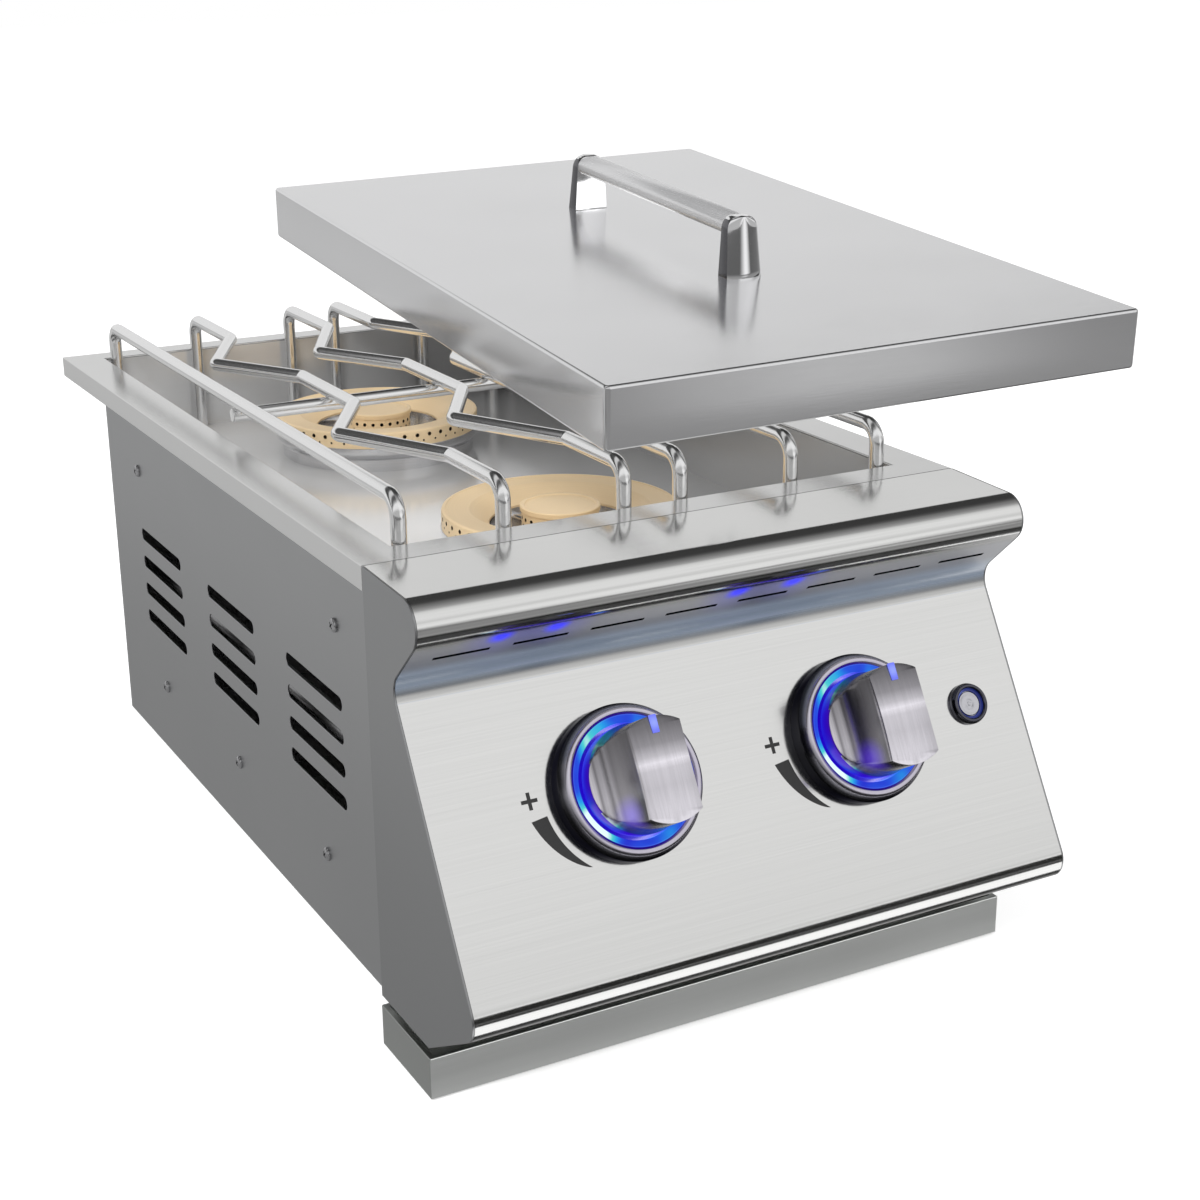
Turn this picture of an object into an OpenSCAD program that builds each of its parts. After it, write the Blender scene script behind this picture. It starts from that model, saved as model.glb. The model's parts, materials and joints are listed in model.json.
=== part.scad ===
/* [Rim] */
// Width of the rim, left to right
rim_w = 340; // [330:1:360]
// Depth of the rim, front to back
rim_d = 528; // [515:1:545]
// Height of the turned-down skirt
rim_h = 12.7; // [10:0.1:16]
// Sheet thickness of the rim
rim_t = 1.2; // [1:0.1:2]
// Width of the left and right strips
rim_side = 24; // [22:0.5:28]
// Width of the front strip
rim_front = 21.5; // [20:0.5:26]
// Width of the rear strip
rim_rear = 18.5; // [16:0.5:24]
// Width of the return lip that rests on the counter
rim_lip = 9; // [6:0.5:12]

/* [Body] */
// Height from the base to the top of the rim
body_h = 252; // [245:1:265]
// Sheet thickness of the body panels
body_t = 1; // [0.8:0.1:1.4]
// Depth of the burner tray below the rim
tray_depth = 54; // [50:1:58]
// Sheet thickness of the burner tray
tray_t = 0.8; // [0.7:0.1:1.2]
// Gap between sheets that slide together in assembly
sheet_gap = 0.2; // [0.1:0.05:0.4]

/* [Side louvres] */
// Length of one louvre slot
louvre_len = 83; // [60:1:96]
// Height of one louvre slot
louvre_w = 8; // [5:0.5:10]
// Distance between louvre columns
louvre_pitch_y = 136; // [128:1:142]
// Distance between louvre rows
louvre_pitch_z = 18.9; // [16:0.1:20]
// Height of the top louvre row above the base
louvre_top = 146; // [140:1:150]
// Offset of the side pattern towards the rear
side_offset = 4.5; // [0:0.5:10]
// Head diameter of a side screw
side_screw_d = 8; // [6:0.5:10]

/* [Control panel] */
// Sheet thickness of the control panel
panel_t = 1.2; // [1:0.1:1.6]
// How far the nose stands in front of the rim
nose_reach = 60; // [56:1:66]
// Radius of the nose
nose_r = 13; // [11:0.5:15]
// How far the top drops towards the nose
nose_drop = 1.6; // [1:0.1:3]
// Angle of the face under the nose, below level
under_a = 43; // [40:1:46]
// Length of the face under the nose, to the fold
under_len = 36.9; // [34:0.5:40]
// Radius of the fold between that face and the slope
fold_r = 12; // [9:0.5:14]
// Lean of the slope from upright
slope_a = 30.4; // [28:0.2:32]
// Length of the slope, fold to chin
slope_len = 164.3; // [160:0.5:168]
// Radius of the lower nose
chin_r = 12; // [10:0.5:14]
// Length of the chin face
chin_len = 64; // [60:0.5:68]
// Length of one vent slot
vent_len = 28.5; // [20:0.5:32]
// Width of one vent slot
vent_w = 2.6; // [1.4:0.1:3.2]
// Distance between vent slots
vent_pitch = 40.5; // [36:0.5:41]

/* [Knobs and button] */
// Distance of each knob from the middle
knob_x = 67; // [62:1:72]
// Distance of the controls below the fold
knob_down = 67.5; // [62:0.5:76]
// Outer radius of the bezel
bezel_r = 37.8; // [36:0.1:42]
// Height of the bezel
bezel_h = 12.6; // [10:0.1:14]
// Outer radius of the lit ring
glow_r = 31.6; // [30:0.1:33]
// Inner radius of the lit ring
glow_bore_r = 28; // [27.4:0.1:29]
// Radius of the knob's round base
knob_r = 26.4; // [24:0.1:27]
// Height of the knob's face above the slope
knob_h = 45; // [38:0.5:50]
// Width of the knob's grip bar
grip_w = 28; // [20:0.5:32]
// Radius of the valve stem
stem_r = 3; // [2.5:0.1:4]
// Radial clearance of the stem in its bores
stem_fit = 0.05; // [0.02:0.01:0.1]
// Travel of the knob when pushed in
knob_travel = 3; // [2:0.5:4]
// Distance of the igniter button from the middle
button_x = 137; // [133:1:139]
// Radius of the igniter button's bezel
button_bezel_r = 10.8; // [10:0.1:12]
// Radius of the igniter button
button_r = 6.3; // [5.6:0.1:6.6]
// Travel of the igniter button
button_travel = 2.5; // [1.5:0.5:3]

/* [Burners] */
// Y of the front burner's centre
front_burner_y = -137; // [-142:0.5:-130]
// Y of the rear burner's centre
rear_burner_y = 124.5; // [120:0.5:132]
// Outer radius of the brass ring
ring_r = 66; // [62:0.5:67]
// Radius of the opening in the brass ring
ring_bore_r = 39.5; // [36:0.5:42]
// Height of the ring's top above the tray floor
ring_top = 26; // [25:0.5:28]
// Radius of the inner cap
cap_r = 22.4; // [19.6:0.1:23]
// Number of large ports round the ring
ring_ports = 48; // [36:1:56]
// Number of large ports round the cap
cap_ports = 24; // [18:1:28]
// Outer radius of the mixer tubes
tube_r = 12.5; // [11:0.5:13]
// Wall of the mixer tubes
tube_t = 1.5; // [1:0.1:2]

/* [Grate] */
// Diameter of the grate rods
rod_d = 8; // [6:0.1:9]
// Height of the rods' centre line above the rim
grate_rise = 21.1; // [19:0.1:26]
// Bend radius at the top of each leg
bend_r = 10; // [6:0.5:14]
// Distance of the outer rods from the middle
rod_x_outer = 139.5; // [136:0.5:140]
// Distance of the middle rods from the middle
rod_x_mid = 84; // [80:0.5:90]
// Distance of the inner rods from the middle
rod_x_inner = 16.5; // [14:0.5:22]
// Sideways reach of a zigzag
zig_shift = 33.7; // [28:0.1:38]
// Half length of the straight stretch in the middle of a zigzag rod
zig_near = 40.5; // [34:0.5:46]
// Distance of a zigzag's peak from the crossbar
zig_peak = 100.5; // [92:0.5:108]
// Distance of a zigzag's far end from the crossbar
zig_far = 170.5; // [160:0.5:180]
// Y of the crossbar
crossbar_y = -7.5; // [-14:0.5:-2]
// Gap between the front edge of the opening and the front legs
leg_front = 1.5; // [1.4:0.1:4]
// Gap between the rear edge of the opening and the rear legs
leg_rear = 1.5; // [1.4:0.1:6]

/* [Lid] */
// Width of the lid
lid_w = 320; // [310:1:326]
// Depth of the lid
lid_d = 505; // [498:1:515]
// Height of the lid's skirt
lid_h = 32.6; // [31:0.2:36]
// Sheet thickness of the lid
lid_t = 1.2; // [1:0.1:2]
// Overall length of the handle
handle_len = 213; // [180:1:240]
// Width of the handle
handle_w = 22; // [18:0.5:26]
// Height of the handle above the lid
handle_h = 34.2; // [30:0.1:44]
// X of the lifted lid's near left corner, from the middle
lid_x = -45.8; // [-48:0.1:-40]
// Y of that corner, in front of the rim's front edge
lid_ahead = 7.5; // [5:0.5:12]
// Height of that corner above the rim
lid_rise = 39; // [38:0.5:60]
// Tilt of the lifted lid about X, rear end up
lid_tilt_x = 4.04; // [3.6:0.02:5]
// Tilt of the lifted lid about Y, right side up when negative
lid_tilt_y = -1.47; // [-2:0.01:-1]
// Turn of the lifted lid about Z
lid_tilt_z = -2.55; // [-3:0.01:-2]

/* [Drip tray] */
// Height of the drip tray's front
drip_h = 22; // [20:0.5:24]
// Depth of the drip tray's front
drip_front_d = 58.5; // [52:0.5:62]
// Width of the pan that slides into the body
drip_pan_w = 264; // [240:1:270]
// Length of that pan
drip_pan_d = 320; // [260:1:340]

/* [Gas parts] */
// Radius of the manifold pipe
manifold_r = 8.6; // [7:0.1:9]
// Radius of the supply pipe
supply_r = 6.35; // [5:0.05:7]
// Distance of the supply pipe left of the middle
supply_x = 125; // [118:1:128]
// Thread radius of the gas inlet
inlet_r = 7.94; // [6:0.01:9]
// Length of the inlet's thread
inlet_len = 9.5; // [8:0.5:10]

/* [Hidden] */
$fn = 48;
// Overrun of a cut past the face that it opens
over = 1;

// How much shorter the rim's skirt is in front, where it clears the panel brackets
rim_front_cut = 3;

// Openings and walls, worked out from the rim
open_w = rim_w - 2 * rim_side;
open_d = rim_d - rim_front - rim_rear;
open_y = open_d / 2;
rim_y0 = -open_y - rim_front;
rim_y1 = open_y + rim_rear;
rim_under = body_h - rim_t;
tray_x = open_w / 2 + tray_t;
tray_y = open_y + tray_t;
wall_x = tray_x + sheet_gap;
wall_y = tray_y + sheet_gap;
body_x = wall_x + body_t;
body_y = wall_y + body_t;
inside_x = wall_x - sheet_gap / 2;
floor_z = body_h - tray_depth;
floor_under = floor_z - tray_t;

// Side pattern
louvre_cols = 3;
louvre_rows = 4;
screw_top_z = 189.6;
screw_top_pitch = 347;
screw_low_z = 47.5;
screw_low_pitch = 144.7;
screw_head_h = 2.4;
screw_rim_share = 0.4;
screw_crown_share = 0.6;

// Fold points of the control panel, from the front top edge of the rim
panel_seam = 0.3;
under_dir = [cos(under_a), -sin(under_a)];
slope_dir = [-sin(slope_a), -cos(slope_a)];
chin_dir = [cos(slope_a), -sin(slope_a)];
nose_c = [nose_r - nose_reach, -nose_drop - nose_r];
nose_end = nose_c + nose_r * [-sin(under_a), -cos(under_a)];
fold_v = nose_end + under_len * under_dir;
fold_turn = 90 - under_a + slope_a;
fold_c = fold_v - fold_r * tan(fold_turn / 2) * under_dir + fold_r * [-sin(under_a), -cos(under_a)];
chin_v = fold_v + slope_len * slope_dir;
chin_c = chin_v - chin_r * slope_dir + chin_r * chin_dir;
chin_end = chin_v + chin_len * chin_dir;
nose_steps = 24;
fold_steps = 14;
chin_steps = 16;
function arc_points(c, r, a0, a1, n) = [for (i = [0:n])
  c + r * [cos(a0 + (a1 - a0) * i / n), sin(a0 + (a1 - a0) * i / n)]];
function panel_outline(inset) = concat(
  [[-panel_seam, -inset]],
  arc_points(nose_c, nose_r - inset, 90, 180 + 90 - under_a, nose_steps),
  arc_points(fold_c, fold_r + inset, 90 - under_a, -slope_a, fold_steps),
  arc_points(chin_c, chin_r - inset, 180 - slope_a, 270 - slope_a, chin_steps),
  [chin_end + inset * [tan(slope_a / 2), 1], [-panel_seam, chin_end[1] + inset]]);
cheek_t = panel_t;
panel_x = rim_w / 2 - cheek_t;
vent_count = 8;
vent_down = 13.6;
knob_hole_r = 6;

// Gussets that carry the control panel
gusset_x = 150;
gusset_t = 2;
gusset_front = 50;
gusset_top = 14;
gusset_neck = 12;
gusset_neck_z = 60;
gusset_waist = [45, 120];
gusset_flange = 32;

// Knob, bezel and stem
bezel_floor = 1.5;
bezel_crown_r = 33.4;
bezel_shoulder_h = 7;
glow_h = 11.6;
knob_base_h = 18.5;
knob_low = 9;
grip_end_r = 25.4;
socket_top = 32;
pointer_w = 3.4;
pointer_len = 8.5;
pointer_deep = 1.2;
pointer_proud = 0.3;
stem_low = -34;
stem_high = socket_top - knob_travel;

// Valve
valve_flange_r = 19;
valve_flange_h = 3;
valve_r = 13;
valve_deep = 48;
valve_bore_end = 40;
manifold_deep = 30;
manifold_down = 24;
stub_r = 7;
seat_gap = 0.1;
spud_deep = 42;
spud_r = 5;
spud_bore_r = 0.6;
spud_len = 32;
valve_at = fold_v + knob_down * slope_dir;
normal_in = -[-cos(slope_a), sin(slope_a)];
manifold_at = valve_at + manifold_deep * normal_in + manifold_down * slope_dir;
spud_at = valve_at + spud_deep * normal_in;
manifold_y = rim_y0 + manifold_at[0];
manifold_z = body_h + manifold_at[1];
spud_y = rim_y0 + spud_at[0];
spud_z = body_h + spud_at[1];
manifold_end = 20;
pipe_wall = 1.5;

// Igniter button and its module
barrel_r = 7.9;
barrel_len = 10;
button_fit = 0.3;
button_bezel_h = 4;
button_glow_r = 8.1;
button_glow_top = 2.4;
button_high = 2;
button_low = -4;
module_r = 10;
module_len = 36;
module_nut_r = 13;
module_nut_h = 3;

// Burner sections, heights from the tray floor
cup_proud = 0.6;
cup_r = ring_r + cup_proud;
cup_t = 2.6;
drum_set = 3.5;
drum_r = ring_r - drum_set;
drum_t = 2;
drum_h = 8;
seat_h = 16;
web_h = 6;
web_t = 1.5;
cup_inner_t = 1.5;
cap_lip = 0.8;
hub_r = cap_r - cap_lip;
hub_h = 14;
ring_wall = 3;
ring_chamfer = 1.3;
ring_flat_r = 50.5;
ring_toe = 1.5;
port_r = 1.3;
port_h = 22.6;
pilot_r = 0.7;
pilot_h = 19;
cap_top = 27;
cap_lip_h = 3;
cap_wall = 2;
cap_port_r = 1.15;
cap_port_h = 20.4;
cap_pilot_r = 0.65;
cap_pilot_h = 17;
duct_a = 105;
duct_w = 8;
duct_h = 6;
duct_bore_r = 2;
tube_hole_gap = 0.3;
tube_bend_r = 20;
tube_mouth_y = rim_y0;
rear_tube_bend_y = 34.5;
front_tube_bend_y = -205.5;
electrode_a = 75;
electrode_at_r = 29;
ceramic_r = 2.5;
ceramic_low = -30;
ceramic_top = 15;
wire_r = 0.8;
wire_top = 21;
electrode_gap = 0.2;

// Grate
rod_r = rod_d / 2;
zig_bend_share = 1.3;
zig_bend_r = zig_bend_share * rod_r;
rod_z = body_h + grate_rise;
leg_y0 = leg_front + rod_r - open_y;
leg_y1 = open_y - leg_rear - rod_r;
crossbar_z = rod_z - rod_d;
crossbar_over = 3;
crossbar_saddle = 0.05;

// Lid and handle
lid_corner_r = 3;
lid_hem = 6;
handle_top_share = 0.836;
handle_bar_w = handle_w * handle_top_share;
handle_bar_t = 11;
post_t = 13;
post_top_t = 9;
post_foot_h = 1;
post_crown_share = 0.4;
handle_screw_r = 2.5;
handle_screw_h = 2;
handle_back = 3.5;
handle_aside = 2.8;
handle_x = lid_w / 2 + handle_aside;
handle_y = lid_d / 2 + handle_back;

// Drip tray
drip_lift = 1;
drip_t = 1.2;
drip_hem = 3.4;
drip_back = 0.8;
drip_pan_z0 = 4;
drip_pan_z1 = 17;
drip_pan_t = 1;
drip_slot_gap = 3;
runner_w = 12;
runner_gap = 0.3;
runner_inset = 4;

// A bend is this much thicker than the straight bar, which runs this far into it
bend_swell = 0.06;
bend_lap = 0.4;

module slab(a, b) {
  translate(a) cube(b - a);
}

module frame_ring(outer_a, outer_b, inner_a, inner_b) {
  difference() {
    slab(outer_a, outer_b);
    slab([inner_a[0], inner_a[1], outer_a[2] - over], [inner_b[0], inner_b[1], outer_b[2] + over]);
  }
}

// Places a profile drawn as [y, z] from the front top edge of the rim
module from_rim_edge(x, w) {
  translate([x, rim_y0, body_h]) rotate([90, 0, 90]) linear_extrude(height = w) children();
}

// Puts the origin on the slope, with Z out of it and Y up it
module on_slope(x, down) {
  at = fold_v + down * slope_dir;
  translate([x, rim_y0 + at[0], body_h + at[1]]) rotate([90 - slope_a, 0, 0]) children();
}

function unit(v) = v / norm(v);

module along(a, b, r) {
  d = b - a;
  translate(a) rotate([0, acos(d[2] / norm(d)), atan2(d[1], d[0])]) cylinder(r = r, h = norm(d));
}

// How much of a straight piece the bend between directions a and b takes up
function bend_take(a, b, bend) = bend * tan(acos(unit(a) * unit(b)) / 2);

// A round bar through the points, bent at each inner point to the radius given for it
module bent_bar(points, bends, r) {
  last = len(points) - 1;
  takes = [for (i = [0:last]) i == 0 || i == last ? 0
    : bend_take(points[i] - points[i - 1], points[i + 1] - points[i], bends[i - 1])];
  for (i = [0:last - 1]) {
    d = unit(points[i + 1] - points[i]);
    along(points[i] + (takes[i] > 0 ? takes[i] - bend_lap : 0) * d,
      points[i + 1] - (takes[i + 1] > 0 ? takes[i + 1] - bend_lap : 0) * d, r);
  }
  for (i = [1:last - 1]) {
    d0 = unit(points[i] - points[i - 1]);
    d1 = unit(points[i + 1] - points[i]);
    u = unit(d1 - (d1 * d0) * d0);
    w = cross(-u, d0);
    c = points[i] - takes[i] * d0 + bends[i - 1] * u;
    multmatrix([[-u[0], d0[0], w[0], c[0]], [-u[1], d0[1], w[1], c[1]],
      [-u[2], d0[2], w[2], c[2]], [0, 0, 0, 1]])
      rotate_extrude(angle = acos(d0 * d1)) translate([bends[i - 1], 0]) circle(r = r + bend_swell);
  }
}

module rounded_plate(w, d, r, h) {
  linear_extrude(height = h) {
    translate([r, 0]) square([w - 2 * r, d]);
    translate([0, r]) square([w, d - 2 * r]);
    for (x = [r, w - r], y = [r, d - r]) translate([x, y]) circle(r = r);
  }
}

module rim_frame() {
  x = rim_w / 2;
  skirt_z = body_h - rim_h;
  color("silver") difference() {
    union() {
      frame_ring([-x, rim_y0, rim_under], [x, rim_y1, body_h], [-open_w / 2, -open_y], [open_w / 2, open_y]);
      frame_ring([-x, rim_y0, skirt_z], [x, rim_y1, body_h],
        [rim_t - x, rim_y0 + rim_t], [x - rim_t, rim_y1 - rim_t]);
      frame_ring([-x, rim_y0, skirt_z], [x, rim_y1, skirt_z + rim_t],
        [rim_lip - x, rim_y0 + rim_lip], [x - rim_lip, rim_y1 - rim_lip]);
    }
    slab([rim_lip - x, rim_y0 - over, skirt_z - over],
      [x - rim_lip, rim_y0 + rim_lip + over, skirt_z + rim_front_cut]);
  }
}

module slot_cut(length, w, deep) {
  linear_extrude(height = deep, center = true) {
    square([length - w, w], center = true);
    for (s = [-1, 1]) translate([s * (length - w) / 2, 0]) circle(d = w);
  }
}

module side_panel(side) {
  color("darkgray") difference() {
    translate([side > 0 ? wall_x : -body_x, -body_y, 0]) cube([body_t, 2 * body_y, rim_under]);
    for (c = [0:louvre_cols - 1], r = [0:louvre_rows - 1])
      translate([side * body_x, side_offset + (c - (louvre_cols - 1) / 2) * louvre_pitch_y,
        louvre_top - r * louvre_pitch_z])
        rotate([90, 0, 90]) slot_cut(louvre_len, louvre_w, 2 * body_t + 2 * over);
  }
}

module left_side_panel() { side_panel(-1); }
module right_side_panel() { side_panel(1); }

module rear_panel() {
  color("darkgray") difference() {
    slab([-inside_x, wall_y, body_t], [inside_x, body_y, rim_under]);
    translate([-supply_x, wall_y - over, manifold_z]) rotate([-90, 0, 0])
      cylinder(r = supply_r + tube_hole_gap, h = body_t + 2 * over);
  }
}

module front_wall() {
  color("darkgray") difference() {
    slab([-inside_x, -body_y, body_t], [inside_x, -wall_y, rim_under]);
    for (x = [-knob_x, knob_x]) translate([x, -wall_y + over, spud_z]) rotate([90, 0, 0])
      cylinder(r = tube_r + tube_hole_gap, h = body_t + 2 * over);
    translate([-supply_x, -wall_y + over, manifold_z]) rotate([90, 0, 0])
      cylinder(r = supply_r + tube_hole_gap, h = body_t + 2 * over);
    slab([-drip_pan_w / 2 - drip_slot_gap, -body_y - over, body_t - over],
      [drip_pan_w / 2 + drip_slot_gap, -wall_y + over, drip_pan_z1 + drip_slot_gap]);
  }
}

module bottom_pan() {
  color("darkgray") slab([-inside_x, -body_y, 0], [inside_x, body_y, body_t]);
}

module electrode_place(y) {
  translate([electrode_at_r * cos(electrode_a), y + electrode_at_r * sin(electrode_a), floor_z]) children();
}

module burner_tray() {
  color("gainsboro") difference() {
    slab([-tray_x, -tray_y, floor_under], [tray_x, tray_y, rim_under]);
    slab([-open_w / 2, -open_y, floor_z], [open_w / 2, open_y, rim_under + over]);
    for (y = [front_burner_y, rear_burner_y]) {
      translate([0, y, floor_under - over]) cylinder(r = tube_r + tube_hole_gap, h = tray_t + 2 * over);
      electrode_place(y) translate([0, 0, -tray_t - over])
        cylinder(r = ceramic_r + electrode_gap, h = tray_t + 2 * over);
    }
  }
}

module control_panel() {
  color("silver") difference() {
    from_rim_edge(-panel_x, 2 * panel_x) difference() {
      polygon(panel_outline(0));
      polygon(concat([[over, -panel_t]], panel_outline(panel_t), [[over, chin_end[1] + panel_t]]));
    }
    for (i = [0:vent_count - 1]) {
      at = nose_end + vent_down * under_dir;
      translate([(i - (vent_count - 1) / 2) * vent_pitch, rim_y0 + at[0], body_h + at[1]])
        rotate([180 - under_a, 0, 0]) slot_cut(vent_len, vent_w, 2 * panel_t + 2 * over);
    }
    for (x = [-knob_x, knob_x]) on_slope(x, knob_down)
      cylinder(r = knob_hole_r, h = 2 * panel_t + 2 * over, center = true);
    on_slope(button_x, knob_down)
      cylinder(r = barrel_r + button_fit, h = 2 * panel_t + 2 * over, center = true);
  }
}

module cheek(x) {
  color("gray") from_rim_edge(x, cheek_t) polygon(panel_outline(0));
}

module left_cheek() { cheek(-rim_w / 2); }
module right_cheek() { cheek(panel_x); }

module panel_brackets() {
  rear = rim_front - (body_y - open_y);
  low = chin_end[1] + panel_t;
  color("darkgray") for (side = [-1, 1]) {
    from_rim_edge(side * gusset_x - gusset_t / 2, gusset_t) polygon([
      [rear, -gusset_top], [rear, low], [-gusset_front, low], [-gusset_front, low + gusset_neck],
      -gusset_waist, [-gusset_neck, -gusset_neck_z], [-gusset_neck, -gusset_top]]);
    from_rim_edge(side > 0 ? gusset_x - gusset_flange : -gusset_x, gusset_flange) polygon([
      [rear - gusset_t, -gusset_top], [rear, -gusset_top],
      [rear, -gusset_waist[1] + gusset_neck_z - gusset_neck],
      [rear - gusset_t, -gusset_waist[1] + gusset_neck_z - gusset_neck]]);
  }
}

module screw_head(r, h) {
  cylinder(r = r, h = h * screw_rim_share);
  translate([0, 0, h * screw_rim_share])
    cylinder(r1 = r, r2 = r * screw_crown_share, h = h * (1 - screw_rim_share));
}

module side_panel_screws() {
  color("dimgray") for (side = [-1, 1]) translate([side * body_x, side_offset, 0]) {
    for (i = [-1, 1]) translate([0, i * screw_top_pitch / 2, screw_top_z])
      rotate([0, side * 90, 0]) screw_head(side_screw_d / 2, screw_head_h);
    for (i = [-1, 0, 1]) translate([0, i * screw_low_pitch, screw_low_z])
      rotate([0, side * 90, 0]) screw_head(side_screw_d / 2, screw_head_h);
  }
}

module burner_cup(y) {
  color("lightgray") translate([0, y, floor_z]) {
    rotate_extrude($fn = 96) polygon([[drum_r - drum_t, 0], [drum_r, 0], [drum_r, drum_h], [cup_r, seat_h],
      [cup_r - cup_t, seat_h], [drum_r - drum_t, drum_h]]);
    difference() {
      rotate_extrude() {
        translate([tube_r - tube_t, web_h]) square([drum_r - drum_t - tube_r + 2 * tube_t, web_t]);
        translate([ring_bore_r, web_h]) square([cup_inner_t, seat_h - web_h]);
        translate([hub_r - cup_inner_t, web_h]) square([cup_inner_t, hub_h - web_h]);
      }
      translate([electrode_at_r * cos(electrode_a), electrode_at_r * sin(electrode_a), 0])
        cylinder(r = ceramic_r + electrode_gap, h = seat_h);
      rotate([0, 0, duct_a]) translate([0, 0, web_h + web_t + duct_h / 2]) rotate([0, 90, 0])
        cylinder(r = duct_bore_r, h = ring_bore_r + cup_inner_t + over);
    }
    rotate([0, 0, duct_a]) difference() {
      translate([hub_r - cup_inner_t / 2, -duct_w / 2, web_h + web_t / 2])
        cube([ring_bore_r - hub_r + cup_inner_t, duct_w, web_t / 2 + duct_h]);
      translate([0, 0, web_h + web_t + duct_h / 2]) rotate([0, 90, 0])
        cylinder(r = duct_bore_r, h = ring_bore_r + 2 * cup_inner_t);
    }
  }
}

module radial_ports(n, r, at_h, from_r, to_r, phase_share) {
  for (i = [0:n - 1]) rotate([0, 0, (i + phase_share) * 360 / n]) translate([from_r, 0, at_h])
    rotate([0, 90, 0]) cylinder(r = r, h = to_r - from_r, $fn = 16);
}

module burner_ring(y) {
  color("burlywood") translate([0, y, floor_z]) difference() {
    rotate_extrude($fn = 96) polygon([
      [ring_bore_r, seat_h], [ring_bore_r, seat_h + ring_toe], [ring_flat_r, ring_top],
      [ring_r - ring_chamfer, ring_top], [ring_r, ring_top - ring_chamfer], [ring_r, seat_h],
      [ring_r - ring_wall, seat_h], [ring_r - ring_wall, ring_top - ring_wall],
      [ring_flat_r + ring_chamfer, ring_top - ring_wall], [ring_bore_r + ring_wall, seat_h + ring_toe],
      [ring_bore_r + ring_wall, seat_h]]);
    radial_ports(ring_ports, port_r, port_h, ring_r - 2 * ring_wall, ring_r + over, 0);
    radial_ports(ring_ports, pilot_r, pilot_h, ring_r - 2 * ring_wall, ring_r + over, 0.5);
  }
}

module burner_cap(y) {
  wall_r = cap_r - cap_lip;
  color("burlywood") translate([0, y, floor_z]) difference() {
    rotate_extrude($fn = 72) polygon([
      [0, cap_top], [cap_r, cap_top], [cap_r, cap_top - cap_lip_h], [wall_r, cap_top - cap_lip_h],
      [wall_r, hub_h], [wall_r - cap_wall, hub_h], [wall_r - cap_wall, cap_top - cap_lip_h],
      [0, cap_top - cap_lip_h]]);
    radial_ports(cap_ports, cap_port_r, cap_port_h, wall_r - 2 * cap_wall, wall_r + over, 0);
    radial_ports(cap_ports, cap_pilot_r, cap_pilot_h, wall_r - 2 * cap_wall, wall_r + over, 0.5);
  }
}

module mixer_tube(points) {
  bends = [tube_bend_r, tube_bend_r];
  longer = [points[0] - [0, over, 0], points[1], points[2], points[3] + [0, 0, over]];
  color("lightgray") difference() {
    bent_bar(points, bends, tube_r);
    bent_bar(longer, bends, tube_r - tube_t);
  }
}

module front_burner_cup() { burner_cup(front_burner_y); }
module rear_burner_cup() { burner_cup(rear_burner_y); }
module front_burner_ring() { burner_ring(front_burner_y); }
module rear_burner_ring() { burner_ring(rear_burner_y); }
module front_burner_cap() { burner_cap(front_burner_y); }
module rear_burner_cap() { burner_cap(rear_burner_y); }

module front_mixer_tube() {
  mixer_tube([[knob_x, tube_mouth_y, spud_z], [knob_x, front_tube_bend_y, spud_z],
    [0, front_burner_y, spud_z], [0, front_burner_y, floor_z + web_h]]);
}

module rear_mixer_tube() {
  mixer_tube([[-knob_x, tube_mouth_y, spud_z], [-knob_x, rear_tube_bend_y, spud_z],
    [0, rear_burner_y, spud_z], [0, rear_burner_y, floor_z + web_h]]);
}

module electrode(y) {
  color("whitesmoke") electrode_place(y) {
    translate([0, 0, ceramic_low]) cylinder(r = ceramic_r, h = ceramic_top - ceramic_low);
    translate([0, 0, ceramic_top]) cylinder(r = wire_r, h = wire_top - ceramic_top);
  }
}

module front_electrode() { electrode(front_burner_y); }
module rear_electrode() { electrode(rear_burner_y); }

module manifold_pipe() {
  color("silver") translate([-supply_x - manifold_end, manifold_y, manifold_z])
    rotate([0, 90, 0]) difference() {
    cylinder(r = manifold_r, h = supply_x + knob_x + 2 * manifold_end);
    translate([0, 0, pipe_wall])
      cylinder(r = manifold_r - pipe_wall, h = supply_x + knob_x + 2 * manifold_end - 2 * pipe_wall);
  }
}

module supply_pipe() {
  from_y = manifold_y + sqrt(manifold_r * manifold_r - supply_r * supply_r) + seat_gap;
  color("silver") difference() {
    translate([-supply_x, manifold_y, manifold_z]) rotate([-90, 0, 0])
      cylinder(r = supply_r, h = body_y - manifold_y);
    translate([-supply_x - manifold_end, manifold_y, manifold_z]) rotate([0, 90, 0])
      cylinder(r = manifold_r + seat_gap, h = 2 * manifold_end);
    translate([-supply_x, manifold_y, manifold_z]) rotate([-90, 0, 0])
      cylinder(r = supply_r - pipe_wall, h = body_y - manifold_y + over);
  }
}

module gas_inlet_fitting() {
  hex_h = rim_y1 - body_y - inlet_len;
  color("goldenrod") translate([-supply_x, body_y, manifold_z]) rotate([-90, 0, 0]) difference() {
    union() {
      cylinder(r = inlet_r + 2 * pipe_wall, h = hex_h, $fn = 6);
      cylinder(r = inlet_r, h = hex_h + inlet_len);
    }
    translate([0, 0, -over]) cylinder(r = supply_r - pipe_wall, h = hex_h + inlet_len + 2 * over);
  }
}

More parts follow.
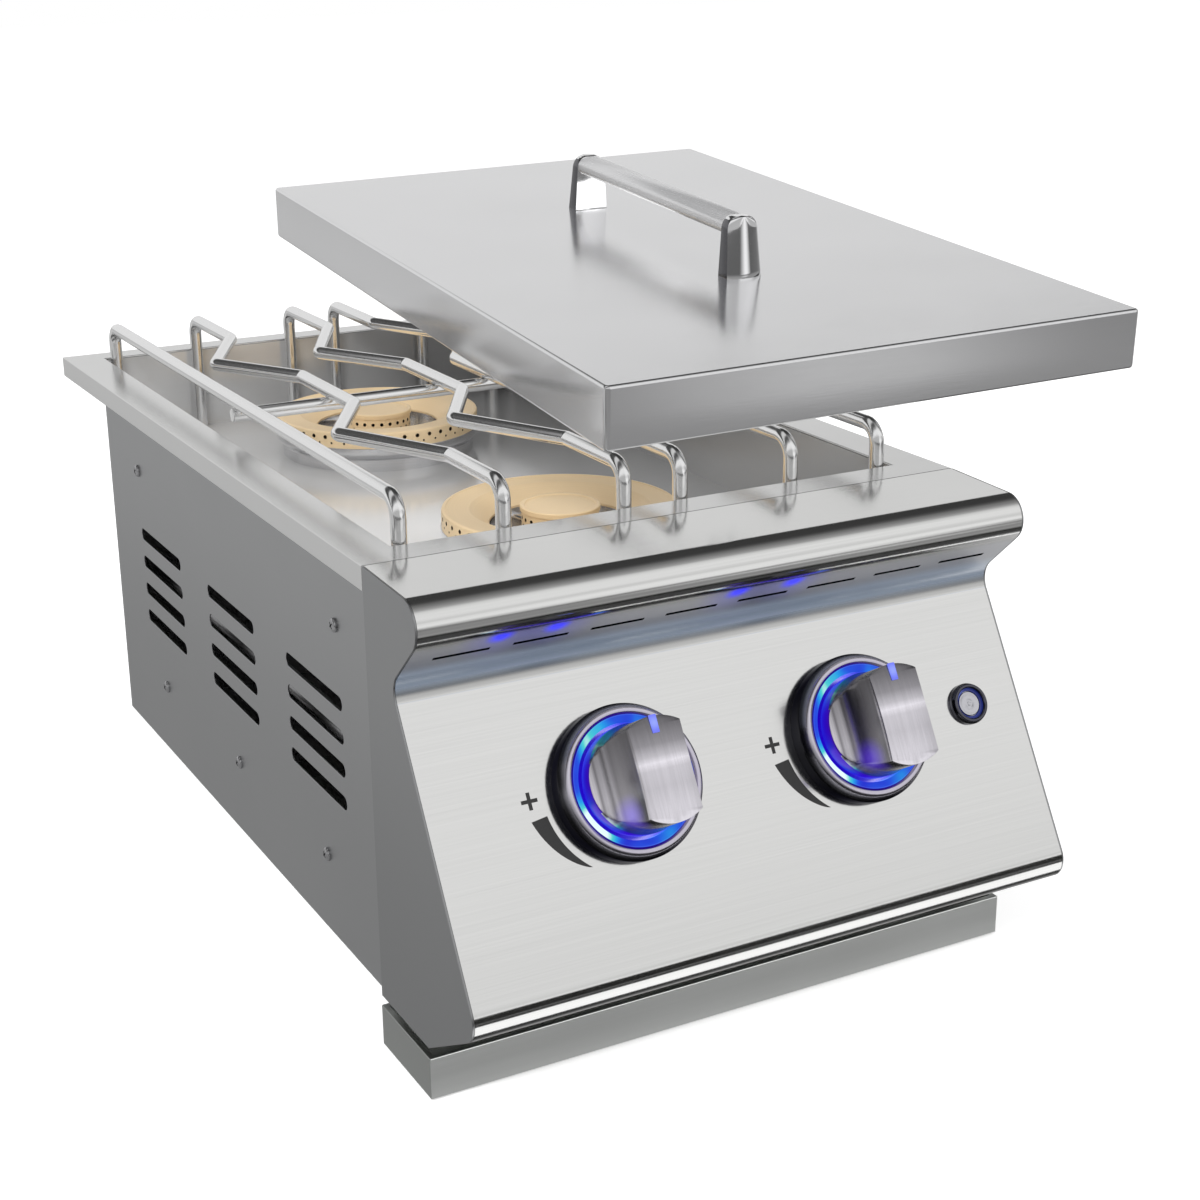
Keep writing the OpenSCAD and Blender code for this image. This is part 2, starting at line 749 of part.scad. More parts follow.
module valve_body(x) {
  color("goldenrod") difference() {
    union() {
      on_slope(x, knob_down) {
        translate([0, 0, -panel_t - valve_flange_h]) cylinder(r = valve_flange_r, h = valve_flange_h);
        translate([0, 0, -valve_deep]) cylinder(r = valve_r, h = valve_deep - panel_t);
        translate([0, 0, -manifold_deep]) rotate([90, 0, 0]) cylinder(r = stub_r, h = manifold_down);
      }
      translate([x, spud_y, spud_z]) rotate([-90, 0, 0]) cylinder(r = spud_r, h = spud_len);
    }
    on_slope(x, knob_down) translate([0, 0, -valve_bore_end])
      cylinder(r = stem_r + stem_fit, h = valve_bore_end);
    translate([x - valve_r - over, manifold_y, manifold_z]) rotate([0, 90, 0])
      cylinder(r = manifold_r + seat_gap, h = 2 * valve_r + 2 * over);
    translate([x, spud_y + valve_r, spud_z]) rotate([-90, 0, 0])
      cylinder(r = spud_bore_r, h = spud_len);
  }
}

module left_valve_body() { valve_body(-knob_x); }
module right_valve_body() { valve_body(knob_x); }

module valve_stem(x) {
  color("silver") on_slope(x, knob_down) translate([0, 0, stem_low])
    cylinder(r = stem_r, h = stem_high - stem_low);
}

module left_valve_stem() { valve_stem(-knob_x); }
module right_valve_stem() { valve_stem(knob_x); }

module bezel(x) {
  color("dimgray") on_slope(x, knob_down) rotate_extrude($fn = 96) polygon(concat(
    [[knob_hole_r, 0], [bezel_r, 0]],
    arc_points([bezel_crown_r, bezel_shoulder_h], bezel_r - bezel_crown_r, 0, 60, 5),
    [[bezel_crown_r, bezel_h], [glow_r, bezel_h], [glow_r, bezel_floor], [knob_hole_r, bezel_floor]]));
}

module left_bezel() { bezel(-knob_x); }
module right_bezel() { bezel(knob_x); }

module lit_ring(x) {
  color("royalblue") on_slope(x, knob_down) rotate_extrude($fn = 96)
    translate([glow_bore_r, bezel_floor]) square([glow_r - glow_bore_r, glow_h - bezel_floor]);
}

module left_lit_ring() { lit_ring(-knob_x); }
module right_lit_ring() { lit_ring(knob_x); }

module knob_pointer_box(grow) {
  translate([-pointer_w / 2 - grow, grip_end_r - pointer_len - grow, knob_h - pointer_deep - grow])
    cube([pointer_w + 2 * grow, pointer_len + over, pointer_deep + grow + pointer_proud]);
}

module knob(x) {
  color("silver") on_slope(x, knob_down) difference() {
    union() {
      translate([0, 0, knob_low]) cylinder(r = knob_r, h = knob_base_h - knob_low, $fn = 96);
      intersection() {
        translate([0, 0, knob_low]) cylinder(r = grip_end_r, h = knob_h - knob_low, $fn = 96);
        translate([-grip_w / 2, -knob_r, knob_low]) cube([grip_w, 2 * knob_r, knob_h]);
      }
    }
    cylinder(r = stem_r + stem_fit, h = socket_top);
    knob_pointer_box(0);
  }
}

module left_knob() { knob(-knob_x); }
module right_knob() { knob(knob_x); }

module pointer(x) {
  color("cornflowerblue") on_slope(x, knob_down) intersection() {
    knob_pointer_box(0);
    cylinder(r = grip_end_r, h = knob_h + over, $fn = 96);
  }
}

module left_pointer() { pointer(-knob_x); }
module right_pointer() { pointer(knob_x); }

module button_bezel() {
  color("silver") on_slope(button_x, knob_down) rotate_extrude() polygon([
    [button_r + button_fit, -barrel_len], [barrel_r, -barrel_len], [barrel_r, 0], [button_bezel_r, 0],
    [button_bezel_r, button_bezel_h - pipe_wall], [button_bezel_r - pipe_wall, button_bezel_h],
    [button_glow_r, button_bezel_h], [button_glow_r, pipe_wall], [button_r + button_fit, pipe_wall]]);
}

module button_lit_ring() {
  color("darkblue") on_slope(button_x, knob_down) rotate_extrude()
    translate([button_r + button_fit, pipe_wall])
      square([button_glow_r - button_r - button_fit, button_glow_top - pipe_wall]);
}

module igniter_button() {
  color("silver") on_slope(button_x, knob_down) translate([0, 0, button_low])
    cylinder(r = button_r, h = button_high - button_low);
}

module igniter_module() {
  color("black") on_slope(button_x, knob_down) difference() {
    union() {
      translate([0, 0, -panel_t - module_nut_h]) cylinder(r = module_nut_r, h = module_nut_h, $fn = 6);
      translate([0, 0, -barrel_len - module_len]) cylinder(r = module_r, h = barrel_len + module_len - panel_t);
    }
    translate([0, 0, -barrel_len]) cylinder(r = barrel_r + seat_gap, h = barrel_len);
  }
}

// A U-shaped rod: two legs and a top, which zigzags towards side unless that is zero
module grate_rod(x, side) {
  mid = crossbar_y;
  peak = x + side * zig_shift;
  zigzag = [[x, mid - zig_far, rod_z], [peak, mid - zig_peak, rod_z], [x, mid - zig_near, rod_z],
    [x, mid + zig_near, rod_z], [peak, mid + zig_peak, rod_z], [x, mid + zig_far, rod_z]];
  tops = side == 0 ? [] : zigzag;
  color("silver") bent_bar(
    concat([[x, leg_y0, floor_z], [x, leg_y0, rod_z]], tops, [[x, leg_y1, rod_z], [x, leg_y1, floor_z]]),
    concat([bend_r], [for (p = tops) zig_bend_r], [bend_r]), rod_r);
}

module grate_rod_1() { grate_rod(-rod_x_outer, 0); }
module grate_rod_2() { grate_rod(-rod_x_mid, -1); }
module grate_rod_3() { grate_rod(-rod_x_inner, -1); }
module grate_rod_4() { grate_rod(rod_x_inner, 1); }
module grate_rod_5() { grate_rod(rod_x_mid, 1); }
module grate_rod_6() { grate_rod(rod_x_outer, 0); }

module grate_crossbar() {
  reach = rod_x_outer + crossbar_over;
  color("silver") translate([-reach, crossbar_y, crossbar_z - crossbar_saddle]) rotate([0, 90, 0])
    cylinder(r = rod_r, h = 2 * reach);
}

// Puts the origin at the near left lower corner of the lifted lid
module lid_place() {
  translate([lid_x, rim_y0 - lid_ahead, body_h + lid_rise])
    rotate([lid_tilt_x, lid_tilt_y, lid_tilt_z]) children();
}

module lid_pan() {
  r = lid_corner_r;
  color("silver") lid_place() difference() {
    rounded_plate(lid_w, lid_d, r, lid_h);
    translate([lid_t, lid_t, lid_t])
      rounded_plate(lid_w - 2 * lid_t, lid_d - 2 * lid_t, r - lid_t, lid_h - 2 * lid_t);
    translate([lid_hem, lid_hem, -over])
      rounded_plate(lid_w - 2 * lid_hem, lid_d - 2 * lid_hem, r - lid_t, lid_t + 2 * over);
  }
}

module handle_place() {
  lid_place() translate([handle_x, handle_y, lid_h]) children();
}

// A post: a plate with a round top, drawn across the handle, narrower upwards, its outer face leaning in
module handle_post(end) {
  crown = handle_bar_w * post_crown_share;
  half = handle_w / 2;
  top_half = handle_bar_w / 2;
  lean = post_t - post_top_t;
  color("gray") handle_place() translate([0, end * handle_len / 2, 0])
    rotate([0, 0, end < 0 ? 0 : 180]) difference() {
      rotate([90, 0, 0]) translate([0, 0, -post_t]) linear_extrude(height = post_t) {
        polygon([[-half, 0], [half, 0], [half, post_foot_h], [top_half, handle_h - crown],
          [-top_half, handle_h - crown], [-half, post_foot_h]]);
        translate([crown - top_half, handle_h - 2 * crown]) square([handle_bar_w - 2 * crown, 2 * crown]);
        for (s = [-1, 1]) translate([s * (top_half - crown), handle_h - crown]) circle(r = crown);
      }
      rotate([90, 0, 90]) translate([0, 0, -half - over]) linear_extrude(height = handle_w + 2 * over)
        polygon([[-over, post_foot_h], [0, post_foot_h], [lean, handle_h + over], [-over, handle_h + over]]);
    }
}

module lid_handle_front_post() { handle_post(-1); }
module lid_handle_rear_post() { handle_post(1); }

module lid_handle_bar() {
  span = handle_len - 2 * post_t;
  r = handle_bar_t / 2;
  color("silver") handle_place() translate([0, span / 2, handle_h - r - seat_gap]) rotate([90, 0, 0])
    linear_extrude(height = span) {
      square([handle_bar_w - handle_bar_t, handle_bar_t], center = true);
      for (s = [-1, 1]) translate([s * (handle_bar_w - handle_bar_t) / 2, 0]) circle(r = r);
    }
}

module lid_handle_screws() {
  color("dimgray") for (end = [-1, 1])
    handle_place() translate([0, end * (handle_len - post_t) / 2, -lid_t - handle_screw_h])
      cylinder(r = handle_screw_r, h = handle_screw_h);
}

module drip_tray_front() {
  x = rim_w / 2;
  y0 = rim_y0 - drip_front_d + drip_back;
  y1 = rim_y0 + drip_back;
  z1 = drip_lift + drip_h;
  color("gray") difference() {
    slab([-x, y0, drip_lift], [x, y1, z1]);
    slab([drip_t - x, y0 + drip_t, drip_lift + drip_t], [x - drip_t, y1 - drip_t, z1 - drip_hem]);
    slab([drip_hem - x, y0 + drip_hem, drip_lift + drip_t], [x - drip_hem, y1 - drip_hem, z1 + over]);
  }
}

module drip_tray_pan() {
  x = drip_pan_w / 2;
  y0 = rim_y0 + drip_back;
  color("gray") difference() {
    slab([-x, y0, drip_pan_z0], [x, y0 + drip_pan_d, drip_pan_z1]);
    slab([drip_pan_t - x, y0 + drip_pan_t, drip_pan_z0 + drip_pan_t],
      [x - drip_pan_t, y0 + drip_pan_d - drip_pan_t, drip_pan_z1 + over]);
  }
}

module drip_tray_runners() {
  x = drip_pan_w / 2 - runner_inset;
  color("gray") for (side = [-1, 1])
    slab([side > 0 ? x - runner_w : -x, -wall_y, body_t],
      [side > 0 ? x : runner_w - x, rim_y0 + drip_back + drip_pan_d, drip_pan_z0 - runner_gap]);
}

rim_frame();
left_side_panel();
right_side_panel();
rear_panel();
front_wall();
bottom_pan();
burner_tray();
control_panel();
left_cheek();
right_cheek();
panel_brackets();
side_panel_screws();
front_burner_cup();
front_burner_ring();
front_burner_cap();
front_mixer_tube();
rear_burner_cup();
rear_burner_ring();
rear_burner_cap();
rear_mixer_tube();
front_electrode();
rear_electrode();
manifold_pipe();
supply_pipe();
gas_inlet_fitting();
left_valve_body();
right_valve_body();
left_valve_stem();
right_valve_stem();
left_bezel();
right_bezel();
left_lit_ring();
right_lit_ring();
left_knob();
right_knob();
left_pointer();
right_pointer();
button_bezel();
button_lit_ring();
igniter_button();
igniter_module();
grate_rod_1();
grate_rod_2();
grate_rod_3();
grate_rod_4();
grate_rod_5();
grate_rod_6();
grate_crossbar();
lid_pan();
lid_handle_bar();
lid_handle_front_post();
lid_handle_rear_post();
lid_handle_screws();
drip_tray_front();
drip_tray_pan();
drip_tray_runners();
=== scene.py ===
"""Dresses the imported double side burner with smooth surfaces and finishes, and sets its stage."""
import functools
import json
import math

import bmesh
import bpy
import numpy as np
from mathutils import Matrix, Vector


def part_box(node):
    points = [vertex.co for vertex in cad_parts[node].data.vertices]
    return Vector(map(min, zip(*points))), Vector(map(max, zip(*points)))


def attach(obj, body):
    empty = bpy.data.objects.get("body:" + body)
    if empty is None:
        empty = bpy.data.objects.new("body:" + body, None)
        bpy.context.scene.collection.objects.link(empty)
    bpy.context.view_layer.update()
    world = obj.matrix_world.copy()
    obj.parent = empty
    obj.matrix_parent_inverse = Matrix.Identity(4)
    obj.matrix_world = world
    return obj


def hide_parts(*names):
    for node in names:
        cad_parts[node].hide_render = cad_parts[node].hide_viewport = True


bl_info = {
    "name": "Double side burner",
    "version": (1, 0, 0),
    "blender": (4, 5, 0),
    "location": "View3D > Sidebar > Burner",
    "description": "Builds the visible pieces and the finishes of a double side burner",
    "category": "Add Mesh",
}

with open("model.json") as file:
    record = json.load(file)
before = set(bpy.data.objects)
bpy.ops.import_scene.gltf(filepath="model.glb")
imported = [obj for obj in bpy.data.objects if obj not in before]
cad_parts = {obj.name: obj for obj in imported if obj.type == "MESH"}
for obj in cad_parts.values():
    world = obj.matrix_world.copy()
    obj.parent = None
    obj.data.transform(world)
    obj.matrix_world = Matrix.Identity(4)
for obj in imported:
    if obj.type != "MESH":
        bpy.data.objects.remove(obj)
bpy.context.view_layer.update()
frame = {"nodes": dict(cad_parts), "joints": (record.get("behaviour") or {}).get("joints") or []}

MM = 0.001
RIM_LOW, RIM_HIGH = (np.array(corner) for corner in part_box("rim_frame"))
RIM_FRONT_Y, RIM_TOP_Z = RIM_LOW[1], RIM_HIGH[2]
JOINTS = {joint["name"]: joint for joint in frame["joints"]}
KNOB_AXIS = np.array(JOINTS["left_knob_turn"]["axis"], float)
KNOB_FOOT = {side: np.array(JOINTS[side + "_knob_turn"]["pos_m"], float) for side in ("left", "right")}
ACROSS = np.array([1.0, 0.0, 0.0])
SLOPE_LEAN = math.degrees(math.asin(KNOB_AXIS[2]))
# Axes across, up and out: of the row frame, and of the slope that the knobs stand on
ROW_AXES = np.eye(3)
SLOPE_AXES = np.array([ACROSS, np.cross(KNOB_AXIS, ACROSS), KNOB_AXIS])
SETTINGS = "burner_settings"


# ---------------------------------------------------------------- settings

def length(name, description, millimetres):
    """A length setting, whose default is given in millimetres."""
    return bpy.props.FloatProperty(name=name, description=description, default=millimetres * MM, unit="LENGTH")


def tint(name, description, colour):
    """A colour setting."""
    return bpy.props.FloatVectorProperty(name=name, description=description, default=colour, subtype="COLOR")


class PanelSizes(bpy.types.PropertyGroup):
    """Sizes of the folded control panel."""
    nose_reach: length("Nose reach", "How far the nose stands in front of the rim", 60)
    nose_radius: length("Nose radius", "Radius of the rounded nose", 13)
    nose_drop: length("Nose drop", "How far the top falls towards the nose", 1.6)
    under_angle: bpy.props.FloatProperty(
        name="Under-nose angle", description="Slant of the face under the nose, in degrees", default=43)
    under_length: length("Under-nose length", "Length of that face to the fold", 36.9)
    fold_radius: length("Fold radius", "Radius of the fold above the slope", 12)
    slope_length: length("Slope length", "Length of the slope from fold to chin", 164.3)
    chin_radius: length("Chin radius", "Radius of the lower nose", 12)
    chin_length: length("Chin length", "Length of the chin face", 64)
    sheet: length("Sheet", "Thickness of the panel's sheet", 1.2)
    seam: length("Seam", "Gap between the panel and the rim", 0.3)
    vent_count: bpy.props.IntProperty(name="Vents", description="Number of vent slots", default=8)
    vent_length: length("Vent length", "Length of one vent slot", 28.5)
    vent_width: length("Vent width", "Width of one vent slot", 2.6)
    vent_pitch: length("Vent pitch", "Distance between vent slots", 40.5)
    vent_down: length("Vent place", "Distance of the slots from the nose", 13.6)


class LidSizes(bpy.types.PropertyGroup):
    """Sizes and place of the lifted lid."""
    width: length("Width", "Lid, left to right", 320)
    depth: length("Depth", "Lid, front to back", 505)
    height: length("Height", "Height of the skirt", 32.6)
    bend: length("Bend", "Radius of the folded edges", 1.8)
    corner: length("Corner", "Radius of the upright corners", 3)
    hem: length("Hem", "Width of the folded hem", 6)
    sheet: length("Sheet", "Thickness of the sheet", 1.2)
    tilt: bpy.props.FloatVectorProperty(
        name="Tilt", description="Turns of the lifted lid, in degrees", default=(4.04, -1.47, -2.55))
    corner_x: length("X", "Near left corner, from the middle", -45.8)
    ahead: length("Ahead", "That corner, in front of the rim", 7.5)
    rise: length("Rise", "That corner, above the rim", 39)
    handle_length: length("Handle length", "Over both posts", 213)
    handle_width: length("Handle width", "Width at the foot", 22)
    handle_top: length("Handle top", "Width of the bar and of the posts' tops", 18.39)
    handle_aside: length("Handle aside", "Right of the lid's middle", 2.8)
    handle_back: length("Handle back", "Behind the lid's middle", 3.5)
    post_depth: length("Post depth", "Of a post at its foot", 13)
    post_top: length("Post top", "Depth of a post at its top", 9)
    handle_height: length("Handle height", "Height above the lid", 34.2)


class GrateSizes(bpy.types.PropertyGroup):
    """Sizes of the wire grate."""
    bar: length("Bar", "Diameter of the round bar", 8)
    rise: length("Rise", "Height of the bars' centre above the rim", 21.1)
    leg_bend: length("Leg bend", "Bend radius at the top of a leg", 10)
    zig_bend: length("Zigzag bend", "Bend radius of the zigzags", 5.2)
    outer: length("Outer bars", "Distance from the middle", 139.5)
    middle: length("Middle bars", "Distance from the middle", 84)
    inner: length("Inner bars", "Distance from the middle", 16.5)
    shift: length("Shift", "Sideways reach of a zigzag", 33.7)
    near: length("Near", "Crossbar to a zigzag's start", 40.5)
    peak: length("Peak", "Crossbar to a zigzag's peak", 100.5)
    far: length("Far", "Crossbar to a zigzag's end", 170.5)


class BurnerSizes(bpy.types.PropertyGroup):
    """Sizes of a burner, with heights from the well's floor."""
    ring: length("Ring", "Outer radius of the brass ring", 66)
    bore: length("Bore", "Radius of the ring's opening", 39.5)
    flat: length("Flat", "Radius where the ring's flat top ends", 50.5)
    top: length("Top", "Height of the ring's top", 26)
    seat: length("Seat", "Height of the cup's lip", 16)
    cap: length("Cap", "Radius of the cap", 22.4)
    cap_top: length("Cap top", "Height of the cap's top", 27)
    drum: length("Drum", "Radius of the cup's drum", 62.5)
    ring_ports: bpy.props.IntProperty(name="Ring ports", description="Large ports round the ring", default=48)
    cap_ports: bpy.props.IntProperty(name="Cap ports", description="Large ports round the cap", default=24)


class ControlSizes(bpy.types.PropertyGroup):
    """Sizes of the bezels, lit rings, knobs and the button."""
    bezel: length("Bezel", "Outer radius of a bezel", 37.8)
    bezel_high: length("Bezel height", "Height of a bezel", 12.6)
    glow: length("Lit ring", "Outer radius of a lit ring", 31.6)
    glow_bore: length("Lit bore", "Inner radius of a lit ring", 28)
    knob: length("Knob", "Radius of a knob's base", 26.4)
    knob_high: length("Knob height", "Height of the knob's face", 45)
    grip: length("Grip", "Width of the grip bar", 28)
    button_x: length("Button place", "Distance from the middle", 137)


class Finishes(bpy.types.PropertyGroup):
    """Colours of the finishes."""
    steel: tint("Steel", "Brushed sheet", (0.80, 0.80, 0.79))
    side: tint("Side sheet", "Body panels", (0.46, 0.465, 0.47))
    brass: tint("Brass", "Burner rings and caps", (0.95, 0.73, 0.45))


GROUPS = {"panel": PanelSizes, "lid": LidSizes, "grate": GrateSizes, "burner": BurnerSizes,
          "controls": ControlSizes, "finishes": Finishes}


class BurnerSettings(bpy.types.PropertyGroup):
    """All the settings of the burner."""
    panel: bpy.props.PointerProperty(type=PanelSizes)
    lid: bpy.props.PointerProperty(type=LidSizes)
    grate: bpy.props.PointerProperty(type=GrateSizes)
    burner: bpy.props.PointerProperty(type=BurnerSizes)
    controls: bpy.props.PointerProperty(type=ControlSizes)
    finishes: bpy.props.PointerProperty(type=Finishes)


def settings():
    """The add-on's settings in this file."""
    return getattr(bpy.context.scene, SETTINGS)


# ---------------------------------------------------------------- mesh helpers

def mm(*pairs):
    """Pairs of millimetres as metres."""
    return [(a * MM, b * MM) for a, b in pairs]


def arc(centre, radius, start, end, steps):
    """Points centre + radius * (cos a, sin a), with a running evenly from start to end, in degrees."""
    turn = np.radians(np.linspace(start, end, steps + 1))
    return np.column_stack([centre[0] + radius * np.cos(turn), centre[1] + radius * np.sin(turn)])


def grid_faces(rows, columns, wrap_rows=False, wrap_columns=False):
    """Quads that join a rows x columns grid of points, row by row, closed round where asked."""
    r = np.arange(rows if wrap_rows else rows - 1)[:, None]
    c = np.arange(columns if wrap_columns else columns - 1)[None, :]
    r2, c2 = (r + 1) % rows, (c + 1) % columns
    quads = np.stack([r * columns + c, r * columns + c2, r2 * columns + c2, r2 * columns + c], axis=-1)
    return quads.reshape(-1, 4)


def capped_faces(rows, columns):
    """A skin of rows rings with columns points each, closed at both ends."""
    last = (rows - 1) * columns
    return [*grid_faces(rows, columns, wrap_columns=True).tolist(),
            list(range(columns)), list(range(last, last + columns))]


BOX_FACES = capped_faces(2, 4)


def new_piece(name, points, faces, outward=True):
    """A mesh object at the origin from points in metres and a list of faces."""
    mesh = bpy.data.meshes.new(name)
    mesh.from_pydata(np.asarray(points, float).reshape(-1, 3).tolist(), [], [list(map(int, f)) for f in faces])
    piece = bpy.data.objects.new(name, mesh)
    bpy.context.scene.collection.objects.link(piece)
    if outward:
        shape = bmesh.new()
        shape.from_mesh(mesh)
        bmesh.ops.remove_doubles(shape, verts=shape.verts, dist=1e-7)
        bmesh.ops.recalc_face_normals(shape, faces=shape.faces)
        shape.to_mesh(mesh)
        shape.free()
    return piece


def applied(piece):
    """Turns a piece's modifiers into its mesh."""
    piece.data = bpy.data.meshes.new_from_object(piece.evaluated_get(bpy.context.evaluated_depsgraph_get()))
    piece.modifiers.clear()
    return piece


def baked(piece, sharp=35):
    """Applies a piece's modifiers, shades it smooth and marks edges over sharp degrees."""
    applied(piece).data.shade_smooth()
    piece.data.set_sharp_from_angle(angle=math.radians(sharp))
    return piece


def bevelled(piece, width, segments=2, limit=30):
    """Rounds the edges over limit degrees with a small bevel."""
    bevel = piece.modifiers.new("bevel", "BEVEL")
    bevel.width, bevel.segments = width, segments
    bevel.limit_method, bevel.angle_limit = "ANGLE", math.radians(limit)
    return piece


def thickened(piece, sheet, sharp):
    """Gives a surface the thickness of its sheet, inwards."""
    shell = piece.modifiers.new("sheet", "SOLIDIFY")
    shell.thickness, shell.offset = sheet, -1
    return baked(piece, sharp)


def cut(piece, other, operation="DIFFERENCE"):
    """Cuts a piece with another one, or keeps what both share, and removes the other."""
    boolean = piece.modifiers.new("cut", "BOOLEAN")
    boolean.operation, boolean.solver, boolean.object = operation, "EXACT", other
    baked(piece)
    bpy.data.objects.remove(other)
    return piece


def placed(points, origin, axes):
    """Points given along three axes, put in the row frame: origin + x * across + y * up + z * out."""
    return np.asarray(origin) + np.asarray(points, float).reshape(-1, 3) @ np.asarray(axes)


def turned(profile, steps, origin, axes=ROW_AXES):
    """A surface of revolution: (r cos a, r sin a, z) for each (r, z) of the profile."""
    profile = np.asarray(profile, float)
    turn = np.linspace(0, 2 * np.pi, steps, endpoint=False)
    radius, height = profile[:, 0][:, None], profile[:, 1][:, None]
    points = np.stack([radius * np.cos(turn), radius * np.sin(turn), height + 0 * turn], axis=-1)
    return placed(points, origin, axes), grid_faces(len(profile), steps, wrap_columns=True)


def turned_piece(name, profile, steps, origin, axes=ROW_AXES, closed=True):
    """A piece of revolution, whose profile is a closed loop unless it starts and ends on the axis."""
    profile = list(map(tuple, profile))
    return new_piece(name, *turned(profile + profile[:1] if closed else profile, steps, origin, axes))


def corner_arc(before, corner, after, radius, steps):
    """An arc in place of a corner: centre + start * cos t + radius * tangent * sin t; a radius of 0 keeps it."""
    a, b = before - corner, after - corner
    a, b = a / np.linalg.norm(a), b / np.linalg.norm(b)
    half = math.acos(max(-1.0, min(1.0, float(a @ b)))) / 2
    if radius <= 0 or half > math.pi / 2 - 1e-3:
        return corner[None]
    centre = corner + (a + b) / np.linalg.norm(a + b) * radius / math.sin(half)
    start = corner + a * radius / math.tan(half) - centre
    turn = (math.pi - 2 * half) * np.linspace(0, 1, steps + 1)[:, None]
    return centre + start * np.cos(turn) - a * radius * np.sin(turn)


def rounded(corners, radii, steps=5):
    """A closed flat profile through the corners, with each corner turned into an arc of its own radius."""
    corners = np.array(corners, float)
    after = np.roll(corners, -1, axis=0)
    return np.concatenate([corner_arc(corners[i - 1], corners[i], after[i], radius, steps)
                           for i, radius in enumerate(radii)])


def rounded_path(corners, radii, steps=8):
    """An open path in space through the corners, with each inner corner turned into an arc."""
    corners = np.array(corners, float)
    arcs = [corner_arc(*corners[i:i + 3], radius, steps) for i, radius in enumerate(radii)]
    return np.concatenate([corners[:1], *arcs, corners[-1:]])


def tube(path, radius, sides=20):
    """A round bar along a path: each ring is radius * (cos a, sin a) in the plane across the path, with flat ends.

    The plane's axes are carried from point to point with the least turn."""
    path = np.asarray(path, float)
    ahead = np.gradient(path, axis=0)
    ahead /= np.linalg.norm(ahead, axis=1)[:, None]
    side = np.cross(ahead[0], [0.31, 0.52, 0.79])
    angles = np.linspace(0, 2 * np.pi, sides, endpoint=False)
    rings = []
    for point, direction in zip(path, ahead):
        side = side - direction * (side @ direction)
        side /= np.linalg.norm(side)
        other = np.cross(direction, side)
        rings.append(point + radius * (np.outer(np.cos(angles), side) + np.outer(np.sin(angles), other)))
    return np.concatenate(rings), capped_faces(len(path), sides)


def joined(parts):
    """Several (points, faces) pairs as one pair."""
    points, faces, start = [], [], 0
    for some_points, some_faces in parts:
        points.append(np.asarray(some_points, float).reshape(-1, 3))
        faces += [[int(i) + start for i in face] for face in some_faces]
        start += len(points[-1])
    return np.concatenate(points), faces


def prism(outline, low, high):
    """A plate whose outline of (a, b) points stands at low and at high: (low, a, b) and (high, a, b)."""
    count = len(outline)
    points = [np.column_stack([np.full(count, place), outline]) for place in (low, high)]
    return np.concatenate(points), capped_faces(2, count)


def points_of(mesh):
    """The places of a mesh's points."""
    points = np.empty(len(mesh.vertices) * 3)
    mesh.vertices.foreach_get("co", points)
    return points.reshape(-1, 3)


def faces_of(piece):
    """Centres and normals of a piece's faces."""
    faces = piece.data.polygons
    centres, normals = np.empty(len(faces) * 3), np.empty(len(faces) * 3)
    faces.foreach_get("center", centres)
    faces.foreach_get("normal", normals)
    return centres.reshape(-1, 3), normals.reshape(-1, 3)


def store(piece, name, values):
    """Stores a number or a vector for each point of a piece."""
    kind, key = ("FLOAT", "value") if values.ndim == 1 else ("FLOAT_VECTOR", "vector")
    piece.data.attributes.new(name, kind, "POINT").data.foreach_set(key, values.astype(np.float32).ravel())


def own_axes(piece, foot, axes, round_axis=False):
    """Stores each point's place along three axes from foot as "grain": (across, up, out), or on a turned piece
    (sqrt(across^2 + up^2), 0, out), so that brush lines run along the piece and turning lines run round it."""
    local = (points_of(piece.data) - np.asarray(foot)) @ axes.T
    if round_axis:
        local = np.column_stack([np.hypot(local[:, 0], local[:, 1]), np.zeros(len(local)), local[:, 2]])
    store(piece, "grain", local)
    return piece


def bevelled_copy(node, width):
    """A copy of a CAD node with merged corners, flat faces joined and its edges rounded."""
    mesh = frame["nodes"][node].data.copy()
    piece = bpy.data.objects.new(node + "_skin", mesh)
    bpy.context.scene.collection.objects.link(piece)
    shape = bmesh.new()
    shape.from_mesh(mesh)
    bmesh.ops.remove_doubles(shape, verts=shape.verts, dist=1e-6)
    bmesh.ops.dissolve_limit(shape, angle_limit=math.radians(1), verts=shape.verts, edges=shape.edges)
    shape.to_mesh(mesh)
    shape.free()
    return baked(bevelled(piece, width))


FLAT_SHEETS = ("rim_steel", "tray_steel", "lid_steel", "body_steel", "drip_steel", "cheek_steel")


def dress(piece, body, finish, slot, *nodes):
    """Gives a piece its finish and body and hides the CAD nodes it stands for; a slot in FLAT_SHEETS keeps it flat.
    """
    if slot in FLAT_SHEETS:
        piece.modifiers.new("flat", "WEIGHTED_NORMAL").keep_sharp = True
        applied(piece)
    piece.data.materials.clear()
    piece.data.materials.append(finish)
    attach(piece, body)
    if nodes:
        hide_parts(*nodes)
    return piece


def refinished(piece, finish, chosen):
    """Gives the chosen faces of a piece another finish."""
    piece.data.materials.append(finish)
    piece.data.polygons.foreach_set("material_index", np.asarray(chosen).astype(np.int32))


# ---------------------------------------------------------------- finishes

ALONG_X = (5.0, 1100.0, 1100.0)
ALONG_Y = (1100.0, 5.0, 1100.0)
TURNED = (1400.0, 1.0, 1400.0)
NO_GRAIN = (260.0, 260.0, 260.0)
ALONG_GRIP = (700.0, 7.0, 700.0)
FINE_GRAIN = (900.0, 900.0, 900.0)
